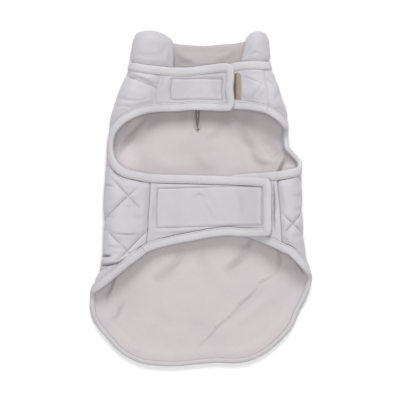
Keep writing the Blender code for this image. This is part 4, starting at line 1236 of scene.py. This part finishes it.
def loop_finish():
    """Brushed loop tape: matted tan fibres, lighter where the pile stands up, paler towards the edge
    that shows, and a painted shadow in the gap beside the strap."""
    finish = Finish("loop_tape_face", 0.9, sheen=0.3, sheen_roughness=0.5, specular=0.2)
    pile, across = finish.noise(2.2, 4, 0.7), finish.along(0)
    brushed = finish.mix(finish.spread(pile, 0.3, 0.7), LOOP_DEEP, LOOP_LIGHT)
    brushed = finish.mix(finish.spread(across, *LOOP_PALE_EDGE) * 0.75, brushed, HOOK)
    # Painted shadow in the gap beside the strap's end, in the tack's dark colour.
    shaded = (1.0 - finish.spread(across, *LOOP_SHADED)) * 0.9
    return finish.done(finish.mix(shaded, brushed, TACK_AND_GAP_SHADOW), (finish.noise(5, 3), 0.8, 0.5), (pile, 0.5, 0.7))


def binding_profile(lap):
    """The folded tape round an edge: a rounded front, a sewn-down inner edge on each face with its
    stitch groove, and a plain inside. Its inner face reaches in by the lap."""
    over, top, under, low = 2.65, 1.25, -3.85, -2.5
    face = [(9.2, -0.3), (STITCH_LINE, -0.6), (7.5, -0.2), (5.8, 0.0), (3.6, 0.05), (1.6, -0.05),
            (0.0, -0.35), (-0.75, -1.0), (-1.15, -1.9)]
    outer = [(BINDING_WIDTH, top), (9.8, top + 0.55)] + [(width, over + height) for width, height in face]
    inner = [(width, under - height) for width, height in face[::-1]]
    inner += [(9.8, low - 0.5), (BINDING_WIDTH, low), (5.8, low - 0.05)]
    inner = [(width * (lap / BINDING_WIDTH) if width > 0 else width, height) for width, height in inner]
    plain = [(0.0, low), (-0.55, low + 0.5), (-0.55, top - 0.5), (0.0, top), (5.8, top + 0.05)]
    return outer + [(-1.25, -0.6)] + inner + plain


def binding(name, edge, ramp=None, lap=BINDING_WIDTH):
    """The binding of one edge and the two rows of stitches that hold it, on its two faces."""
    profile = binding_profile(lap)
    rows = (STITCH_LINE, STITCH_LINE * (lap / BINDING_WIDTH))
    # Painted shade in the stitched grooves, on both faces.
    shade = [1.0 if width in rows and abs(height) > 1.5 else 0.0 for width, height in profile]
    made = carried(name + "_tape", edge, ramp, profile, "binding", name, 0.3, shade)
    runs = []
    for width, pick, out in ((rows[0], max, STITCH_PROUD), (rows[1], min, -STITCH_PROUD)):
        height = pick(height for row, height in profile if row == width)
        runs.append((at_stations(inward(edge.dense, width), edge.stations), ramp, height + out))
    return [made, stitched(name + "_stitches", runs, "thread")]


def bound_edge(stretches, ramp=None):
    """The cloth's own edge, inside its binding, from seam to seam."""
    line = inset(smooth_curve(pattern(stretches)), BINDING_WRAP)
    return stationed(trimmed(line, JOIN_GAP / 2), ramp)


def neck_edge():
    """The cloth's edge at the neck: bound in front, and sewn to the collar at the back."""
    line = smooth_curve(pattern(NECK))
    held = BINDING_WRAP * ease((turned(line) - NECK_HELD[0]) / (NECK_HELD[1] - NECK_HELD[0]))
    return stationed(trimmed(inset(line, held), JOIN_GAP / 2))


def seam(before, after, stretch=None, shift=0.0):
    """A seam line from one edge's end to the next one's start, by the places between them."""
    middles = pattern([stretch]) + [shift, 0.0] if stretch else np.empty((0, 2))
    line = np.vstack([before[-1:], middles, after[:1]])
    length = lengths_along(line)[-1]
    return resample(line, np.linspace(0, length, int(length / 2) + 2))


def joined(*lines):
    """One closed loop from lines that follow each other."""
    return np.vstack([line[:-1] for line in lines])


def box_sides(place, count):
    """The four sides of a box on the cloth, each a line of count points."""
    corners = closed(pattern([place]))
    return [resample(side, np.linspace(0, 1, count) * np.linalg.norm(side[1] - side[0]))
            for side in (corners[k:k + 2] for k in range(4))]


def slit_loop():
    """The leash slit's edge, a pointed oval, clockwise, so that the cloth is on its left."""
    t = np.linspace(-1, 1, SLIT_POINTS + 1)[:-1]
    left = np.stack([-SLIT_HALF_WIDTH * (1 - t ** 2), SLIT_HALF_LENGTH * t], axis=1)
    return np.vstack([left, -left]) + SLIT_MIDDLE


def declare(loop):
    """Works out the area of a piece's cut loop, in square metres, and keeps nothing of it."""
    s, y = loop.T
    area = float(abs((s * np.roll(y, -1) - y * np.roll(s, -1)).sum()) / 2 * MM * MM)


def quilt_runs(loop, bound_lines):
    """The stitch lines of the quilting inside a loop and clear of its bindings."""
    low, high = loop.min(0), loop.max(0)
    y = np.arange(low[1], high[1], STITCH_SAMPLE)
    woven = [np.stack([start + k * QUILT_REPEAT + way * y, y], axis=1)
             for way, start in ((-1, QUILT_RISING), (1, QUILT_FALLING))
             for k in range(-QUILT_LINES, QUILT_LINES + 1)]
    chest = [resample(line, np.arange(0, lengths_along(line)[-1], STITCH_SAMPLE)) for line in CHEST_LINES]
    runs = []
    for number, line in enumerate(woven + chest):
        keep = inside(line, loop)
        keep[keep] = edge_distance(line[keep], bound_lines) > BINDING_WIDTH + STITCH_CLEAR
        if number < len(woven):
            on_chest = (line[:, 1] > QUILT_TOP) & (turned(line) > 0.15)
            keep &= ~on_chest & (softness(line) < HIDDEN_FROM)
        starts = np.flatnonzero(np.diff([0, *keep, 0]))
        runs += [line[a:b] for a, b in starts.reshape(-1, 2) if b - a > LEAST_RUN]
    return runs


def back_panel():
    """The quilted shell, its lining, the bindings of its edges and the leash slit's welt."""
    edges = [bound_edge(HEM), bound_edge(LEG_RIGHT), neck_edge(), bound_edge(LEG_LEFT)]
    hem, leg_right, neck, leg_left = (points_of(edge) for edge in edges)
    seams = [seam(hem, leg_right, BELLY_RIGHT_SEAM, -JOIN_GAP / 2), seam(leg_right, neck),
             seam(neck, leg_left), seam(leg_left, hem, BELLY_LEFT_SEAM_DOWN, JOIN_GAP / 2)]
    loop = joined(hem, seams[0], leg_right, seams[1], neck, seams[2], leg_left, seams[3])
    slit = slit_loop()
    lines = [edge.dense[::2] for edge in edges]
    start = ((QUILT_RISING + QUILT_FALLING) / 2, (QUILT_RISING - QUILT_FALLING) / 2)
    area = cut_out(loop, QUILT_REPEAT / np.sqrt(2) / QUILT_CELLS, np.pi / 4, start, [slit])
    points = area[0]

    def face(places, bound, sewn):
        stitch, _ = to_stitch(places)
        hidden, raised = softness(places), ease(turned(places) / 0.25)
        creases, trough = creased(places, SHELL_CREASES)
        groove = (0.35 + 0.6 * raised) * bell(stitch, 1.1) * (1 - hidden) + 0.2 * bell(stitch, 2.6)
        height = padding(places, bound, sewn, stitch * (1 - hidden) + HIDDEN_OFF * hidden)
        height -= groove * ease((bound - BINDING_WIDTH) / 3)
        height += creases * ease((bound - BINDING_WIDTH) / 1.2) * raised * ease(sewn / 4)
        height -= opened(places, sewn)
        height -= sunken(places, bound, SHELL_TUCKS, SHELL_TUCK) * raised
        return SHELL_HALF + np.maximum(height, -1.15), np.maximum(trough * raised, opened(places, sewn))

    bound, sewn = edge_distance(points, lines), distance(points, seams)
    height, shade = face(points, bound, sewn)
    _, line = to_stitch(points)
    line = line + np.sign(line + 1e-9) * (3 * softness(points) + 9 * (bound < BINDING_WIDTH))
    # The shell is painted darker in its creases' troughs and its seams' grooves, as painted shade.
    shell = wall("quilted_shell", area, height, -SHELL_HALF, "shell", "shell", "back_panel",
                 crease=shade, line=line, **marks(points, bound, sewn, SHELL_TUCKS, SHELL_TUCK))
    creases, trough = creased(points, LINING_CREASES)
    to_hem, to_others = edge_distance(points, lines[:1]), edge_distance(points, lines[1:])
    to_lap = np.minimum(to_hem + BINDING_WIDTH - HEM_LAP, to_others)
    to_slit = distance(points, [closed(slit)])
    free = ease((to_lap - BINDING_WIDTH - 0.5) / 8) * ease((to_slit - WELT_WIDTH - 0.2) / 5)
    soft = (0.5 + 0.45 * uneven(points, 30.0, 21) + 0.2 * uneven(points, 12.0, 22)
            + 0.25 * bell(to_slit - 8, 4.5))
    under = np.clip(free * (soft - creases), -0.75, 3.4)
    under = np.where(turned(points) < 0.02, under, np.minimum(under, 2.0))
    # The lining gets painted shade in its creases' troughs, and the listed spots of painted light and
    # shade.
    lining = wall("fleece_lining", area, LINING_NEAR, LINING_FAR - under, "fleece", "fleece",
                  "back_lining", crease=0.5 * trough * free + painted_light_and_shade(points))
    trims = binding("binding_hem", edges[0], lap=HEM_LAP)
    trims += binding("binding_leg_right", edges[1]) + binding("binding_leg_left", edges[3])
    over = turned(neck) > NECK_BOUND_FROM
    for name, side in (("binding_neck_right", neck[:, 0] > 0), ("binding_neck_left", neck[:, 0] < 0)):
        trims += binding(name, Edge(edges[2].dense, edges[2].stations[over & side]))

    def on_face(places):
        return face(places, edge_distance(places, lines), distance(places, seams))[0] + 0.1

    trims.append(stitched("quilt_stitches", [(run, None, on_face) for run in quilt_runs(loop, lines)],
                          "thread", pitch=3.4, length=2.7, radius=0.2))
    low = LINING_FAR - 0.4
    profile = [
        (WELT_WIDTH, low), (WELT_WIDTH, low - 0.35), (2.0, low - 0.65), (1.1, low - 0.95), (0.1, low - 0.9),
        (-0.7, low - 0.3), (-1.15, -1.4), (-1.0, 0.2), (-0.4, 0.5), (-0.3, -1.2), (-0.3, low)]
    # The welt's lips are painted dark towards the slit, as painted shadow.
    welt = carried("slit_welt", slit, None, profile, "welt", "leash_slit_welt",
                   shade=WELT_SHADES, reach=0.88 * np.abs(slit[:, 0] - SLIT_MIDDLE[0]) / 1.15)
    around = closed(slit - outward_round(slit) * 1.9)
    welt_thread = stitched("slit_welt_stitches", [(around, None, low - 0.7)], "thread",
                           pitch=2.8, length=2.0, radius=0.18)
    foot = np.array(SLIT_MIDDLE) - [0.0, SLIT_HALF_LENGTH]
    bars = [(foot + [[end, up] for end in TACK_SPAN], None, low - 1.0) for up in TACK_BARS]
    tack = stitched("slit_tack", bars, "tack", pitch=2.0, length=2.6, radius=0.42)
    declare(loop)
    declare(loop)


def collar():
    """The stand collar: shell and lining, softly filled, rounded together along the top edge."""
    bottom = points_of(stationed(inset(drawn(COLLAR_BOTTOM), SEAM_GAP)))
    top = points_of(stationed(drawn(COLLAR_TOP)))
    top[0], top[-1] = bottom[-1], bottom[0]
    loop = joined(bottom, top)
    area = cut_out(loop, COLLAR_CELL)
    points = area[0]
    to_top, to_bottom = distance(points, [top]), distance(points, [bottom])
    rounded = np.sqrt(np.clip(1 - (1 - np.clip(to_top / 3.2, 0, 1)) ** 2, 0, 1))
    free = ease(to_top / 12) * ease(to_bottom / 7)
    lying = 1 - ease(turned(points) / 0.2)
    creases, trough = creased(points, COLLAR_SHELL_CREASES)
    seam_line = 0.4 * bell(to_bottom - 0.8, 1.0)
    plump = (1.7 + 0.35 * uneven(points, 20.0, 31) + creases) * free * (1 - lying)
    outer = -1.15 + (SHELL_HALF + 1.15) * rounded + plump - seam_line * (1 - lying)
    # The collar's cloth gets painted shade in its creases' troughs and along its seam, and an even painted
    # shade over all of it.
    shell = wall("collar_cloth", area, outer, -1.2, "shell", "shell", "collar_shell",
                 crease=np.maximum(trough, seam_line) + COLLAR_SHADE)
    creases, trough = creased(points, COLLAR_LINING_CREASES)
    soft = (0.8 + 0.3 * uneven(points, 16.0, 32) - creases) * ease(to_top / 6) * ease(to_bottom / 6)
    under = LINING_NEAR - 0.15 - 0.85 * rounded - np.clip(soft, -0.3, 2.2)
    # The collar's lining gets painted shade in its creases' troughs, and more painted shade where it lies
    # flat at the back.
    lining = wall("collar_fleece", area, LINING_NEAR, under, "fleece", "fleece", "collar_lining",
                  crease=0.5 * trough + 0.3 * lying)
    declare(loop)
    declare(loop)


def strap(name, table, seam_place, shift, ramp, creases, tucks, box=None):
    """A strap or tab: a padded wall with its stitched box, its binding and its stitches."""
    edge = bound_edge(table, ramp)
    line = points_of(edge)
    sewn = seam(line, line, seam_place, shift)
    loop = joined(line, sewn)
    area = cut_out(loop, STRAP_CELL)
    points = area[0]

    def to_edges(places):
        return edge_distance(places, [edge.dense[::2]]), distance(places, [sewn])

    def to_box(places):
        corners = pattern([box])
        return signed(distance(places, [closed(corners)]), ~inside(places, corners))

    def face(places, bound, to_seam):
        relief, trough = creased(places, creases)
        free = ease((bound - BINDING_WIDTH) / 4) * ease(to_seam / 5)
        soft = relief + 0.4 + 0.3 * uneven(places, 24.0, len(name)) + 0.14 * uneven(places, 9.0, 5)
        height = free * soft
        if box:
            off = to_box(places)
            height += free * (0.5 * bell(off - 4.0, 2.4) + 0.45 * ease(-off / 4)) - 0.85 * bell(off, 0.95)
        height -= opened(places, to_seam)
        height -= sunken(places, bound, tucks, STRAP_TUCK)
        return SHELL_HALF + np.maximum(height, -1.0), np.maximum(trough * free, opened(places, to_seam))

    bound, to_seam = to_edges(points)
    height, shade = face(points, bound, to_seam)
    # The strap's cloth gets painted shade in its creases' troughs and seam grooves, and an even painted
    # shade more where it has a stitched box.
    made = wall(name + "_cloth", area, height, LINING_FAR, "shell", "shell", name, ramp,
                crease=shade + (STRAP_SHADE if box else 0.0),
                line=to_box(points) if box else UNMARKED["line"],
                **marks(points, bound, to_seam, tucks, STRAP_TUCK))
    trims = binding("binding_" + name, edge, ramp)
    if box:
        runs = [(side, ramp, lambda places: face(places, *to_edges(places))[0] + STITCH_PROUD)
                for side in box_sides(box, 80)]
        trims.append(stitched(name + "_box_stitches", runs, "thread", radius=0.2))
    declare(loop)


def tape(name, place, heights, ramp=None):
    """A piece of hook or loop tape on the cloth, with a slightly soft face and rounded edges."""
    loop = joined(*box_sides(place, 24))
    area = cut_out(loop, TAPE_CELL)
    edge = distance(area[0], [closed(loop)])
    soft = 0.25 * uneven(area[0], 3.0, 41) * ease(edge / 2) - 0.3 * bell(edge, 0.8)
    low, high = heights
    look = name.split("_")[1]
    outer, inner = (high + soft, low) if look == "loop" else (high, low - soft)
    made = wall(name + "_face", area, outer, inner, look, look + "_tape", name, ramp)
    declare(loop)


def stage():
    """The floor, the lights and the camera straight above."""
    floor = bpy.data.meshes.new("floor")
    corners = [(x, y, FLOOR_Z) for x, y in ((-4, -4), (4, -4), (4, 4), (-4, 4))]
    floor.from_pydata(corners, [], [(0, 1, 2, 3)])
    finish = Finish("floor_paint", 0.9, specular=0.1)
    floor.materials.append(finish.done(FLOOR))
    placed("floor", floor)
    scene = bpy.context.scene
    scene.world = bpy.data.worlds.new("studio")
    scene.world.use_nodes = True
    backdrop = scene.world.node_tree.nodes["Background"].inputs
    backdrop["Color"].default_value, backdrop["Strength"].default_value = (1, 1, 1, 1), WORLD_LIGHT
    for name, place, size, power in LIGHTS:
        lamp = bpy.data.lights.new(name, "AREA")
        lamp.size, lamp.energy = size, power
        stand = placed(name, lamp)
        stand.location = place
        stand.rotation_euler = (-Vector(place)).to_track_quat("-Z", "Y").to_euler()
    lens = bpy.data.cameras.new("camera")
    lens.sensor_width = 36.0
    lens.lens = lens.sensor_width * CAMERA_ABOVE / CAMERA_SEES
    lens.clip_end = 50.0
    scene.camera = placed("camera", lens)
    scene.camera.location = (*CAMERA_OVER, CAMERA_ABOVE + FOLDS_MIDDLE)
    scene.view_settings.view_transform = "Standard"


HEM_LINE = smooth_curve(pattern(HEM), steps=4)
CHEST_LINES = [pattern([row]) for row in CHEST_QUILTING]
LOOKS = {
    "shell": shell_finish(), "fleece": fleece_finish("fleece_nap", FLEECE_PAINTED_SHADE_AND_PILE),
    "welt": fleece_finish("welt_fleece", WELT_PAINTED_SHADOW_AND_PILE), "binding": binding_finish(),
    "thread": thread_finish("sewing_thread", THREAD), "tack": thread_finish("tack_thread", TACK_AND_GAP_SHADOW),
    "hook": hook_finish(), "loop": loop_finish()}
stage()
back_panel()
collar()
strap("chest_strap", CHEST_STRAP, None, 0.0, CHEST_RAMP, CHEST_STRAP_CREASES, CHEST_STRAP_TUCKS, CHEST_BOX)
strap("chest_tab", CHEST_TAB, None, 0.0, None, CHEST_TAB_CREASES, CHEST_TAB_TUCKS)
strap("belly_strap", BELLY_STRAP, BELLY_LEFT_SEAM, -JOIN_GAP / 2, BELLY_RAMP, BELLY_STRAP_CREASES,
      BELLY_STRAP_TUCKS, BELLY_BOX)
strap("belly_tab", BELLY_TAB, BELLY_RIGHT_SEAM_DOWN, JOIN_GAP / 2, None, BELLY_TAB_CREASES, BELLY_TAB_TUCKS)
tape("chest_hook_tape", CHEST_HOOK, HOOK_TAPE, CHEST_RAMP)
tape("chest_loop_tape", CHEST_LOOP, LOOP_TAPE)
tape("belly_hook_tape", BELLY_HOOK, HOOK_TAPE, BELLY_RAMP)
tape("belly_loop_tape", BELLY_LOOP, LOOP_TAPE)
